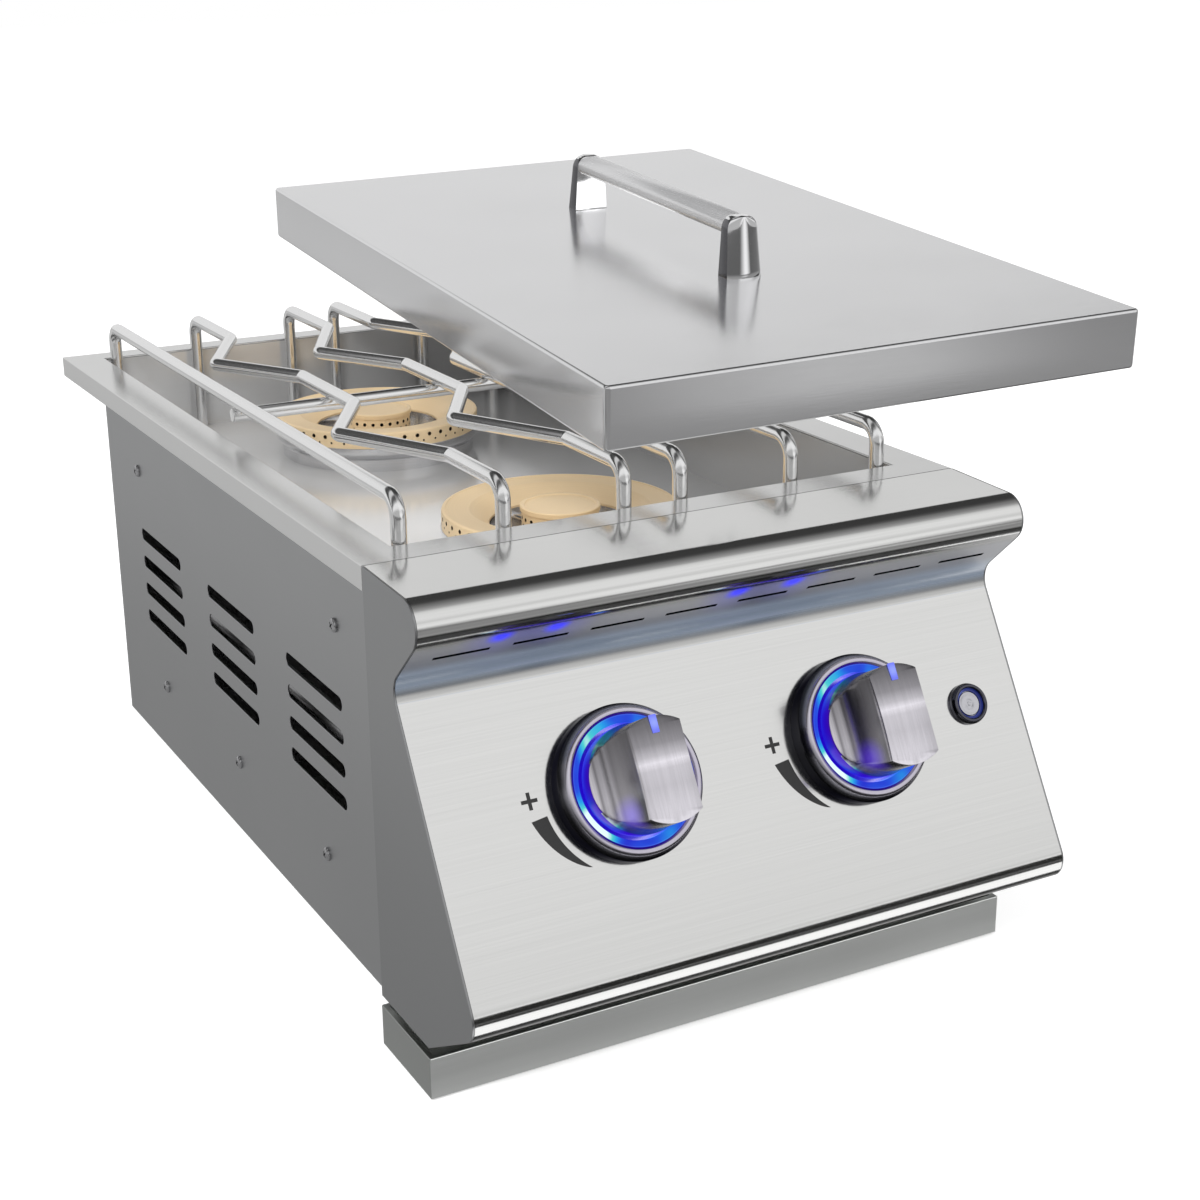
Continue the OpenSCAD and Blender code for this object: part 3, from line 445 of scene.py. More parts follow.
# Painted highlight, shade and reflection stripes on the knob's steel: levels on its face from the foot of the grip to
# its pointer, and on its flanks outwards
FACE_SHEEN_ALONG = ((-25 * MM, 0.93), (-17 * MM, 0.86), (-8 * MM, 0.70), (0, 0.74), (3.5 * MM, 0.98), (6.5 * MM, 0.66),
              (12 * MM, 0.36), (20 * MM, 0.22), (26 * MM, 0.17))
FLANK_SHEEN_ACROSS = ((13.5 * MM, 0.34), (15.5 * MM, 0.50), (17 * MM, 0.44), (18 * MM, 0.74), (19 * MM, 0.50),
                (20.5 * MM, 0.66), (21.5 * MM, 0.62), (22.6 * MM, 0.34), (24 * MM, 0.80), (25.4 * MM, 0.92),
                (26.4 * MM, 0.50))
FLANK_SHADE_ALONG = ((-24 * MM, 0.95), (-8 * MM, 1.0), (4 * MM, 0.72), (24 * MM, 0.36))
FACE_STARTS, FACE_FULL = 42.2 * MM, 43.2 * MM
# A painted blue glow on the knob's flank, for the lit ring's light on it: centre and radius
KNOB_SPOT, KNOB_SPOT_RADIUS = (-15 * MM, -17 * MM, 30 * MM), 12 * MM
LILAC, BLACK = (0.96, 0.93, 1.0), (0.0, 0.0, 0.0)
# Painted glow on the face under the nose, standing in for lamp light, from its start (0) to the fold (1), and the
# painted shade at the fold
WASH_DOWN = ((0.0, BLACK), (0.08, (0.012, 0.014, 0.03)), (0.5, (0.02, 0.025, 0.045)), (0.76, (0.10, 0.13, 0.18)),
             (0.90, (0.18, 0.22, 0.28)), (0.97, BLACK))
FOLD_SHADE = ((0.0, 1.0), (0.78, 0.90), (0.86, 0.42), (0.96, 0.42), (1.0, 1.0))
# Painted blue glow spots under the nose: core and halo size, halo share, that face's added roughness, the glow's
# blues, the steel's tint in them
SPOT_CORE, SPOT_HALO, HALO_SHARE, UNDER_DULL = 9 * MM, 26 * MM, 0.16, 0.26
SPOT_BLUES = ((0.0, BLACK), (0.4, (0.01, 0.01, 0.34)), (1.0, (0.03, 0.03, 1.0)))
SPOT_STEEL = (0.10, 0.10, 0.45)
# Painted shade on the well's steel, under the lid: levels from left to right and from front to rear
WELL_SHADE_ACROSS = ((-0.15, 1.0), (-0.05, 1.0), (0.01, 0.80), (0.07, 0.64), (0.15, 0.60))
WELL_SHADE_ALONG = ((-0.24, 1.0), (-0.06, 1.0), (0.04, 0.80), (0.24, 0.66))
# Painted blue glow of the lit ring on the knob's wall by height and in the bezel's bore, and the bezel's tones by
# share of its width, with a painted sheen band across the crown
WALL_PAINTED_GLOW = ((9 * MM, (0.012, 0.0, 0.40)), (17 * MM, (0.03, 0.0, 0.22)))
BORE_PAINTED_GLOW = (0.012, 0.0, 0.42)
BEZEL_TONES_SHEEN = ((0.0, (0.52, 0.48, 0.64)), (0.45, (0.70, 0.67, 0.76)), (0.68, (0.42, 0.41, 0.46)),
               (0.86, (0.07, 0.07, 0.078)), (1.0, (0.045, 0.045, 0.05)))
RING_GLOW = ((0.02, 0.0, 0.48), (0.02, 0.09, 0.68), (0.02, 0.34, 0.74), (0.08, 0.64, 0.56), (0.80, 1.0, 0.93))
POINTER_GLOW = ((0.10, 0.10, 0.70), (0.20, 0.24, 0.92), (0.30, 0.38, 1.0))
BUTTON_GLOW = ((0.006, 0.008, 0.05), (0.012, 0.02, 0.12), (0.12, 0.16, 0.45))
SPOT_HEAT, PATCH_HEAT, PATCH_FLOOR = 0.62, 0.9, -0.22


class Shading:
    """Adds nodes to a node tree; an input takes a socket, which is linked, or a plain value, which is set."""

    def __init__(self, tree):
        self.tree = tree

    def feed(self, node, inputs):
        """Links or sets a node's inputs, by name or number."""
        for key, value in inputs.items():
            if isinstance(value, bpy.types.NodeSocket):
                self.tree.links.new(value, node.inputs[key])
            else:
                node.inputs[key].default_value = value
        return node

    def node(self, kind, inputs=None, **options):
        """A new node of a kind, with its options and inputs."""
        node = self.tree.nodes.new("ShaderNode" + kind)
        for key, value in options.items():
            setattr(node, key, value)
        return self.feed(node, inputs or {})

    def math(self, operation, *values, **options):
        """The result of a Math node."""
        return self.node("Math", dict(enumerate(values)), operation=operation, **options).outputs[0]

    def parts(self, where):
        """The outputs X, Y and Z of a place."""
        return self.node("SeparateXYZ", {0: where}).outputs

    def stored(self, name, output="Fac"):
        """A stored attribute."""
        return self.node("Attribute", attribute_name=name).outputs[output]

    def where(self, own=False):
        """The place that a texture reads: the object's coordinates, or the piece's own stored axes."""
        return self.stored("grain", "Vector") if own else self.node("TexCoord").outputs["Object"]

    def ramp(self, value, steps):
        """Colours by a value: each step is (value, colour), with straight lines between."""
        first, last = steps[0][0], steps[-1][0]
        span = self.node("MapRange", {"From Min": first, "From Max": last, "Value": value}).outputs[0]
        ramp = self.node("ValToRGB", {"Fac": span})
        stops = ramp.color_ramp.elements
        stops[0].color, stops[1].color = (*steps[0][1], 1), (*steps[-1][1], 1)
        for place, colour in steps[1:-1]:
            stops.new((place - first) / (last - first)).color = (*colour, 1)
        return ramp.outputs["Color"]

    def levels(self, value, steps, colour=(1.0, 1.0, 1.0)):
        """Greys, or levels of one colour, by a value: each step is (value, level)."""
        return self.ramp(value, [(place, tuple(level * part for part in colour)) for place, level in steps])

    def blend(self, kind, first, second, share=1.0):
        """Two colours blended: MULTIPLY, LIGHTEN, ADD or MIX by a share."""
        inputs = {"Factor": share, "A": first, "B": second}
        return self.node("Mix", inputs, data_type="RGBA", blend_type=kind).outputs["Result"]

    def spots(self, where, centres, radius):
        """A mask that is the sum of one light spot for each centre."""
        total = 0.0
        for centre in centres:
            inputs = {"Where": where, "Centre": tuple(float(c) for c in centre), "Radius": radius, "Before": total}
            total = self.group(spot_group("Light spot"), inputs).outputs["Value"]
        return total

    def group(self, tree, inputs):
        """A shared node group with its inputs."""
        return self.node("Group", inputs, node_tree=tree)


def once(kind):
    """Lets a function that makes a datablock by name hand back the one that is there already."""
    def wrap(make):
        @functools.wraps(make)
        def found_or_made(name, *values, **options):
            return getattr(bpy.data, kind).get(name) or make(name, *values, **options)
        return found_or_made
    return wrap


def shared_group(name, inputs, outputs):
    """A new shader node group: its shading, the outputs of its start and its end."""
    tree = bpy.data.node_groups.new(name, "ShaderNodeTree")
    for label, kind, value in inputs:
        socket = tree.interface.new_socket(name=label, in_out="INPUT", socket_type="NodeSocket" + kind)
        if value is not None:
            socket.default_value = value
    for label, kind in outputs:
        tree.interface.new_socket(name=label, in_out="OUTPUT", socket_type="NodeSocket" + kind)
    return Shading(tree), tree.nodes.new("NodeGroupInput").outputs, tree.nodes.new("NodeGroupOutput")


@once("node_groups")
def grain_group(name):
    """Brushed grain: fine noise drawn out along one axis, and a slow cloud that dulls it here and there."""
    shading, start, end = shared_group(
        name,
        [("Where", "Vector", None), ("Stretch", "Vector", (6.0, 900.0, 900.0)), ("Rough", "Float", 0.3),
         ("Spread", "Float", 0.1), ("Depth", "Float", 0.15), ("Colour", "Color", None), ("Streak", "Float", 0.06)],
        [("Colour", "Color"), ("Roughness", "Float"), ("Normal", "Vector")])
    drawn = shading.node("VectorMath", {0: start["Where"], 1: start["Stretch"]}, operation="MULTIPLY").outputs[0]
    fine = shading.node("TexNoise", {"Scale": 1.0, "Detail": 3.0, "Roughness": 0.7, "Vector": drawn}).outputs["Fac"]
    cloud = shading.node("TexNoise", {"Scale": 9.0, "Detail": 2.0, "Vector": start["Where"]}).outputs["Fac"]
    centred = shading.math("SUBTRACT", fine, 0.5)
    both = shading.math("ADD", centred, shading.math("SUBTRACT", cloud, 0.5))
    streak = shading.math("MULTIPLY_ADD", centred, start["Streak"], 1.0)
    shading.feed(end, {
        "Roughness": shading.math("MULTIPLY_ADD", both, start["Spread"], start["Rough"]),
        "Colour": shading.node("VectorMath", {0: start["Colour"], "Scale": streak}, operation="SCALE").outputs[0],
        "Normal": shading.node("Bump", {"Distance": 0.0002, "Strength": start["Depth"], "Height": fine}).outputs[0]})
    return shading.tree


@once("node_groups")
def spot_group(name):
    """Light spot: 1 at the centre, falling as a smooth step to 0 at the radius, added to what came before."""
    shading, start, end = shared_group(
        name,
        [("Where", "Vector", None), ("Centre", "Vector", None), ("Radius", "Float", 0.01), ("Before", "Float", 0.0)],
        [("Value", "Float")])
    apart = shading.node("VectorMath", {0: start["Where"], 1: start["Centre"]}, operation="DISTANCE").outputs["Value"]
    fall = shading.node("MapRange", {"From Min": start["Radius"], "From Max": 0.0, "Value": apart},
                        interpolation_type="SMOOTHSTEP").outputs[0]
    shading.feed(end, {"Value": shading.math("ADD", fall, start["Before"])})
    return shading.tree


def new_material(name):
    """A new material, its shading and its shader."""
    material = bpy.data.materials.new(name)
    material.use_nodes = True
    return material, Shading(material.node_tree), material.node_tree.nodes["Principled BSDF"]


@once("materials")
def metal(name, colour, rough, stretch, spread=0.1, depth=0.12, streak=0.06, metallic=1.0, own=False):
    """A brushed, turned or polished metal, whose grain is drawn out along the axis with the small stretch."""
    material, shading, shader = new_material(name)
    grain = shading.group(grain_group("Brushed grain"), {
        "Where": shading.where(own), "Stretch": stretch, "Rough": rough, "Spread": spread, "Depth": depth,
        "Streak": streak, "Colour": (*colour, 1)}).outputs
    shading.feed(shader, {"Metallic": metallic, "Base Color": grain["Colour"], "Roughness": grain["Roughness"],
                          "Normal": grain["Normal"]})
    return material


def grained(name, *values, **options):
    """A new metal to add to: the material, its shading, its shader and its grain."""
    material = metal(name, *values, **options)
    nodes = material.node_tree.nodes
    grain = next(node for node in nodes if node.type == "GROUP")
    return material, Shading(material.node_tree), nodes["Principled BSDF"], grain


@once("materials")
def knob_metal(name):
    """Steel brushed along the grip, painted darker to the pointer with a painted highlight band across,
    with painted reflection stripes on the flanks and a painted blue glow on a flank.
    """
    material, shading, shader, grain = grained(name, LILAC, 0.22, ALONG_GRIP, 0.16, 0.10, 0.42, own=True)
    where = shading.where(True)
    parts = shading.parts(where)
    flank = shading.blend("MULTIPLY", shading.levels(shading.math("ABSOLUTE", parts["X"]), FLANK_SHEEN_ACROSS, LILAC),
                          shading.levels(parts["Y"], FLANK_SHADE_ALONG))
    rise = {"From Min": FACE_STARTS, "From Max": FACE_FULL, "Value": parts["Z"]}
    on_face = shading.node("MapRange", rise).outputs[0]
    spot = shading.spots(where, [KNOB_SPOT], KNOB_SPOT_RADIUS)
    shading.feed(shader, {"Emission Color": shading.ramp(spot, [(0.0, BLACK), (1.0, (0.05, 0.01, 0.42))]),
                          "Emission Strength": 1.0})
    face = shading.levels(parts["Y"], FACE_SHEEN_ALONG, LILAC)
    shading.feed(grain, {"Colour": shading.blend("MIX", flank, face, on_face)})
    return material


@once("materials")
def well_metal(name):
    """The well's bright steel, with painted shade that darkens it to the right and to the rear, under the lid."""
    material, shading, _, grain = grained(name, (1.0, 1.0, 1.0), 0.16, ALONG_X, 0.10, 0.05, 0.05, metallic=0.40)
    parts = shading.parts(shading.where())
    shading.feed(grain, {"Colour": shading.blend("MULTIPLY", shading.levels(parts["X"], WELL_SHADE_ACROSS),
                                                 shading.levels(parts["Y"], WELL_SHADE_ALONG))})
    return material


def panel_steel(name, steel, glow_places):
    """Brushed sheet with a painted blue glow under the nose, stronger in painted spots, and a painted shade at the
    fold.
    """
    material, shading, shader, grain = grained(name, steel, 0.13, ALONG_X, 0.08, 0.06, 0.14)
    where, under, down = shading.where(), shading.stored("under_nose"), shading.stored("down_nose")
    core, halo = (shading.spots(where, glow_places, radius) for radius in (SPOT_CORE, SPOT_HALO))
    lit = shading.math("MULTIPLY", shading.math("MULTIPLY_ADD", halo, HALO_SHARE, core), under)
    shading.feed(grain, {"Colour": shading.blend("MULTIPLY", shading.ramp(lit, [(0.0, steel), (1.0, SPOT_STEEL)]),
                                                 shading.levels(down, FOLD_SHADE))})
    shading.feed(shader, {
        "Emission Color": shading.blend("ADD", shading.ramp(lit, SPOT_BLUES), shading.ramp(down, WASH_DOWN)),
        "Emission Strength": 1.0,
        "Roughness": shading.math("MULTIPLY_ADD", under, UNDER_DULL, grain.outputs["Roughness"])})
    return material


@once("materials")
def knob_wall(name):
    """The knob's metal in the lit ring: blue with a painted glow for the ring's light, deeper towards the foot."""
    material, shading, shader, _ = grained(name, (0.05, 0.02, 0.30), 0.20, TURNED, 0.08, 0.03, 0.06, own=True)
    height = shading.parts(shading.where(True))["Z"]
    shading.feed(shader, {"Emission Color": shading.ramp(height, WALL_PAINTED_GLOW), "Emission Strength": 1.0})
    return material


@once("materials")
def bezel_metal(name, sizes):
    """Near-black polished metal on the wall, which turns to satin lilac-grey towards the crown and inwards; a painted
    sheen band crosses the crown and a painted blue glow lies in the bore.
    """
    material, shading, shader, grain = grained(name, (1.0, 1.0, 1.0), 0.24, TURNED, 0.08, 0.03, 0.06, own=True)
    away = shading.parts(shading.where(True))["X"]
    width = sizes.bezel - sizes.glow
    crown = [(sizes.glow + share * width, colour) for share, colour in BEZEL_TONES_SHEEN]
    bore = [(sizes.knob - MM, BORE_PAINTED_GLOW), (sizes.glow - 0.1 * MM, BORE_PAINTED_GLOW), (sizes.glow, BLACK),
            (sizes.glow + MM, BLACK)]
    shading.feed(shader, {"Specular Tint": (0.35, 0.35, 0.37, 1), "Emission Color": shading.ramp(away, bore),
                          "Emission Strength": 1.0})
    shading.feed(grain, {"Colour": shading.ramp(away, crown)})
    return material


@once("materials")
def lamp_plastic(name, stops, places, radius):
    """Lit plastic: deep colour that rises to a hot one near the places, with soft patches between."""
    material, shading, shader = new_material(name)
    where = shading.where(True)
    noise = shading.node("TexNoise", {"Scale": 70.0, "Detail": 1.0, "Vector": where}).outputs["Fac"]
    patches = shading.math("MULTIPLY_ADD", noise, PATCH_HEAT, PATCH_FLOOR)
    heat = shading.math("MULTIPLY_ADD", shading.spots(where, places, radius), SPOT_HEAT, patches, use_clamp=True)
    steps = [(i / (len(stops) - 1), colour) for i, colour in enumerate(stops)]
    shading.feed(shader, {"Roughness": 0.16, "Base Color": (0.005, 0.01, 0.08, 1),
                          "Emission Color": shading.ramp(heat, steps), "Emission Strength": 1.0})
    return material


def finishes():
    """Every finish of the object, by name."""
    colours = settings().finishes
    side, brass = tuple(colours.side), tuple(colours.brass)
    return {
        "rim": metal("Brushed rim", (0.76, 0.76, 0.755), 0.20, ALONG_X, 0.08, 0.06, 0.06),
        "lid": metal("Brushed lid", (0.83, 0.83, 0.84), 0.16, ALONG_X, 0.08, 0.05, 0.05),
        "side": metal("Side sheet", side, 0.38, ALONG_Y, 0.10, 0.05, 0.05),
        "cheek": metal("Cheek sheet", (0.385, 0.39, 0.395), 0.40, ALONG_Y, 0.10, 0.05, 0.05),
        "tray": well_metal("Well sheet"),
        "drip": metal("Drip tray sheet", (0.47, 0.485, 0.47), 0.38, ALONG_X, 0.10, 0.05, 0.05),
        # Painted light: a lighter copy of the drip tray's sheet for its front face
        "drip_lit_front": metal("Drip front painted light", (0.80, 0.815, 0.80), 0.38, ALONG_X, 0.10, 0.05, 0.05),
        "bar": metal("Polished bar", (0.90, 0.90, 0.90), 0.15, NO_GRAIN, 0.06, 0.02, 0.03),
        "chrome": metal("Polished chrome", (0.90, 0.90, 0.91), 0.06, NO_GRAIN, 0.04, 0.01, 0.02),
        "knob": knob_metal("Brushed knob"),
        "handle": metal("Satin handle", (0.66, 0.66, 0.67), 0.26, ALONG_Y, 0.10, 0.05, 0.08, metallic=0.5),
        # Painted shade: a dark copy of the chrome for the handle posts' sides
        "post_shaded_side": metal("Post flank painted shade", (0.15, 0.15, 0.16), 0.20, ALONG_Y, 0.10, 0.04, 0.06),
        "brass": metal("Machined brass", brass, 0.42, TURNED, 0.14, 0.14, 0.14, metallic=0.16, own=True),
        # Painted shade for the inside of the burners' ports
        "port_shade": metal("Painted port shade", (0.05, 0.035, 0.02), 0.60, NO_GRAIN, 0.10, 0.05, 0.20, metallic=0.2),
        "cup": metal("Cup steel", (0.78, 0.78, 0.79), 0.18, TURNED, 0.10, 0.04, 0.05, own=True),
        "screw": metal("Screw steel", (0.42, 0.42, 0.43), 0.25, NO_GRAIN, 0.10, 0.03, 0.04),
        "inside": metal("Inner sheet", (0.40, 0.40, 0.41), 0.45, ALONG_X, 0.10, 0.05, 0.06),
        "tube": metal("Tube steel", (0.60, 0.60, 0.61), 0.30, ALONG_Y, 0.10, 0.05, 0.06),
        "valve": metal("Valve brass", (0.62, 0.46, 0.22), 0.38, NO_GRAIN, 0.12, 0.06, 0.08),
        "pipe": metal("Pipe metal", (0.60, 0.60, 0.61), 0.36, ALONG_X, 0.12, 0.06, 0.08),
        "stem": metal("Turned stem", (0.55, 0.55, 0.56), 0.30, NO_GRAIN, 0.10, 0.05, 0.05),
        "dark": metal("Dark chrome", (0.10, 0.10, 0.12), 0.14, NO_GRAIN, 0.06, 0.02, 0.03),
        "button": metal("Button face", (0.62, 0.62, 0.66), 0.24, FINE_GRAIN, 0.12, 0.06, 0.10),
        "black": metal("Black plastic", (0.02, 0.02, 0.022), 0.5, NO_GRAIN, 0.12, 0.05, 0.1, metallic=0.0),
        "ceramic": metal("Glazed ceramic", (0.80, 0.78, 0.73), 0.22, NO_GRAIN, 0.08, 0.02, 0.04, metallic=0.0),
        "ink": metal("Printed ink", (0.035, 0.035, 0.035), 0.55, NO_GRAIN, 0.08, 0.02, 0.10, metallic=0.0),
    }


# ---------------------------------------------------------------- pieces

# Places of the painted glow spots across the panel and down the under-nose face, and how far from that face a point
# counts as on it
GLOW_SPOT_X = (-0.1255, -0.097, 0.001, 0.0325)
GLOW_SPOT_DOWN, FACE_REACH = 1.5 * MM, 9 * MM
NOSE_STEPS = 40


def under_face(sizes):
    """The nose's centre, where the face under it starts, the way down that face and the way out of it."""
    under = math.radians(sizes.under_angle)
    out = np.array([-math.sin(under), -math.cos(under)])
    nose = np.array([sizes.nose_radius - sizes.nose_reach, -sizes.nose_drop - sizes.nose_radius])
    return nose, nose + sizes.nose_radius * out, np.array([math.cos(under), -math.sin(under)]), out


def panel_outline(sizes):
    """The control panel's folded outline as (y, z) from the rim's front top edge.

    It runs along the top, round the nose, down the under-nose face, through the fold, down the slope, round the
    chin and back along the bottom; each bend is an arc that is tangent to its neighbours."""
    lean = math.radians(SLOPE_LEAN)
    nose, nose_end, down, out = under_face(sizes)
    slope, chin_way = np.array([-math.sin(lean), -math.cos(lean)]), np.array([math.cos(lean), -math.sin(lean)])
    fold = nose_end + sizes.under_length * down
    take = sizes.fold_radius * math.tan(math.radians(90 - sizes.under_angle + SLOPE_LEAN) / 2)
    fold_centre = fold - take * down + sizes.fold_radius * out
    chin = fold + sizes.slope_length * slope
    chin_centre = chin - sizes.chin_radius * slope + sizes.chin_radius * chin_way
    chin_end = chin + sizes.chin_length * chin_way
    parts = [
        [[-sizes.seam, 0.0]],
        arc(nose, sizes.nose_radius, 90, 270 - sizes.under_angle, NOSE_STEPS),
        [nose_end + (sizes.vent_down + half * sizes.vent_width) * down for half in (-0.5, 0.5)],
        arc(fold_centre, sizes.fold_radius, 90 - sizes.under_angle, -SLOPE_LEAN, 24),
        arc(chin_centre, sizes.chin_radius, 180 - SLOPE_LEAN, 270 - SLOPE_LEAN, 28),
        [chin_end, [-sizes.seam, chin_end[1]]],
    ]
    return from_rim_edge(np.concatenate([np.asarray(p, float).reshape(-1, 2) for p in parts]))


def from_rim_edge(outline):
    """(y, z) from the rim's front top edge, as (y, z) of the row frame."""
    return np.asarray(outline) + np.array([RIM_FRONT_Y, RIM_TOP_Z])


class BURNER_OT_panel(bpy.types.Operator):
    """Builds the folded control panel with its vent slots, and its two cheeks"""
    bl_idname = "burner.panel"
    bl_label = "Control panel"

    def execute(self, context):
        sizes, finish = settings().panel, finishes()
        outline = panel_outline(sizes)
        low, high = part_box("control_panel")
        centres = (np.arange(sizes.vent_count) - (sizes.vent_count - 1) / 2) * sizes.vent_pitch
        slots = (centres[:, None] + np.array([-0.5, 0.5]) * sizes.vent_length).ravel()
        xs = np.concatenate([[low[0]], slots, [high[0]]])
        rows, columns = len(outline), len(xs)
        points = np.column_stack([np.tile(xs, rows), np.repeat(outline, columns, axis=0)])
        quads = grid_faces(rows, columns)
        row, column = np.divmod(np.arange(len(quads)), columns - 1)
        slot_row = 1 + NOSE_STEPS + 1
        quads = quads[~((row == slot_row) & (column % 2 == 1))]
        piece = new_piece("control_panel_sheet", points, quads, outward=False)
        if piece.data.polygons[0].normal.z < 0:
            piece.data.flip_normals()
        thickened(piece, sizes.sheet, 30)
        self.store_under_nose(piece, sizes)
        # Places of the painted blue glow spots on the under-nose face
        _, start, down, _ = under_face(sizes)
        glow_y, glow_z = from_rim_edge(start) + GLOW_SPOT_DOWN * down
        glow_spots = [(x, glow_y, glow_z) for x in GLOW_SPOT_X]
        steel = panel_steel("Brushed panel", tuple(settings().finishes.steel), glow_spots)
        dress(piece, "burner_body", steel, "panel_steel", "control_panel")
        # Painted shade: the faces inside the sheet under the nose, the vent slots' walls and the sheet's inner side,
        # take dark chrome so the slots look dark
        along, off = self.on_face(faces_of(piece)[0], sizes)
        refinished(piece, finish["dark"],
                   (along > 0) & (along < sizes.under_length) & (off < -0.3 * MM) & (off > -FACE_REACH))
        for side in ("left", "right"):
            low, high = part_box(side + "_cheek")
            cheek = bevelled(new_piece(side + "_cheek_plate", *prism(outline, low[0], high[0])), 0.35 * MM, 2, 60)
            dress(baked(cheek, 30), "burner_body", finish["cheek"], "cheek_steel", side + "_cheek")
        return {"FINISHED"}

    def on_face(self, points, sizes):
        """How far points lie down the face under the nose, and out of it."""
        _, start, down, out = under_face(sizes)
        local = points[:, 1:] - from_rim_edge(start)
        return local @ down, local @ out

    def store_under_nose(self, piece, sizes):
        """Stores how far a point belongs to the face with the painted glow (1 on it, falling to 0 over the nose's end
        and over the fold), and how far down that face it lies (0 to 1)."""
        along, off = self.on_face(points_of(piece.data), sizes)
        near = np.abs(off) < FACE_REACH
        fold = np.clip((sizes.under_length + 6 * MM - along) / (14 * MM), 0, 1)
        store(piece, "under_nose", np.clip((along + 3 * MM) / (3 * MM), 0, 1) * fold * near)
        store(piece, "down_nose", np.clip(along / (sizes.under_length + 2 * MM), 0, 1) * near)


def rounded_rectangle(low, high, radius, steps=6):
    """Points round a rectangle, counter-clockwise, with corners of the given radius."""
    (x0, y0), (x1, y1) = low, high
    corners = [((x1, y1), 0, (-1, -1)), ((x0, y1), 90, (1, -1)), ((x0, y0), 180, (1, 1)), ((x1, y0), 270, (-1, 1))]
    radius = max(radius, 1e-5)
    return np.concatenate([arc((x + sx * radius, y + sy * radius), radius, start, start + 90, steps)
                           for (x, y), start, (sx, sy) in corners])


def pan_surface(width, depth, corner, profile):
    """A folded pan: each (inset, z) of the profile is a rounded rectangle drawn in by inset; the first is closed."""
    rings = []
    for inset, z in profile:
        ring = rounded_rectangle((inset, inset), (width - inset, depth - inset), corner - inset)
        rings.append(np.column_stack([ring, np.full(len(ring), z)]))
    count = len(rings[0])
    return np.concatenate(rings), [*grid_faces(len(rings), count, wrap_columns=True).tolist(), list(range(count))]


def lid_matrix(sizes):
    """The lifted lid's axes and corner in the row frame."""
    x, y, z = (Matrix.Rotation(math.radians(angle), 3, axis) for angle, axis in zip(sizes.tilt, "XYZ"))
    corner = np.array([sizes.corner_x, RIM_FRONT_Y - sizes.ahead, RIM_TOP_Z + sizes.rise])
    return np.array(z @ y @ x), corner


def on_lid(points, sizes):
    """Points measured from the lid's near left lower corner, in the row frame."""
    turn, corner = lid_matrix(sizes)
    return placed(points, corner, turn.T)


BAR_THICK, BAR_UNDER_TOP = 10.6 * MM, 0.15 * MM
POST_BULGE, POST_CROWN, CROWN_SHARE = 2.6 * MM, 7 * MM, 0.62


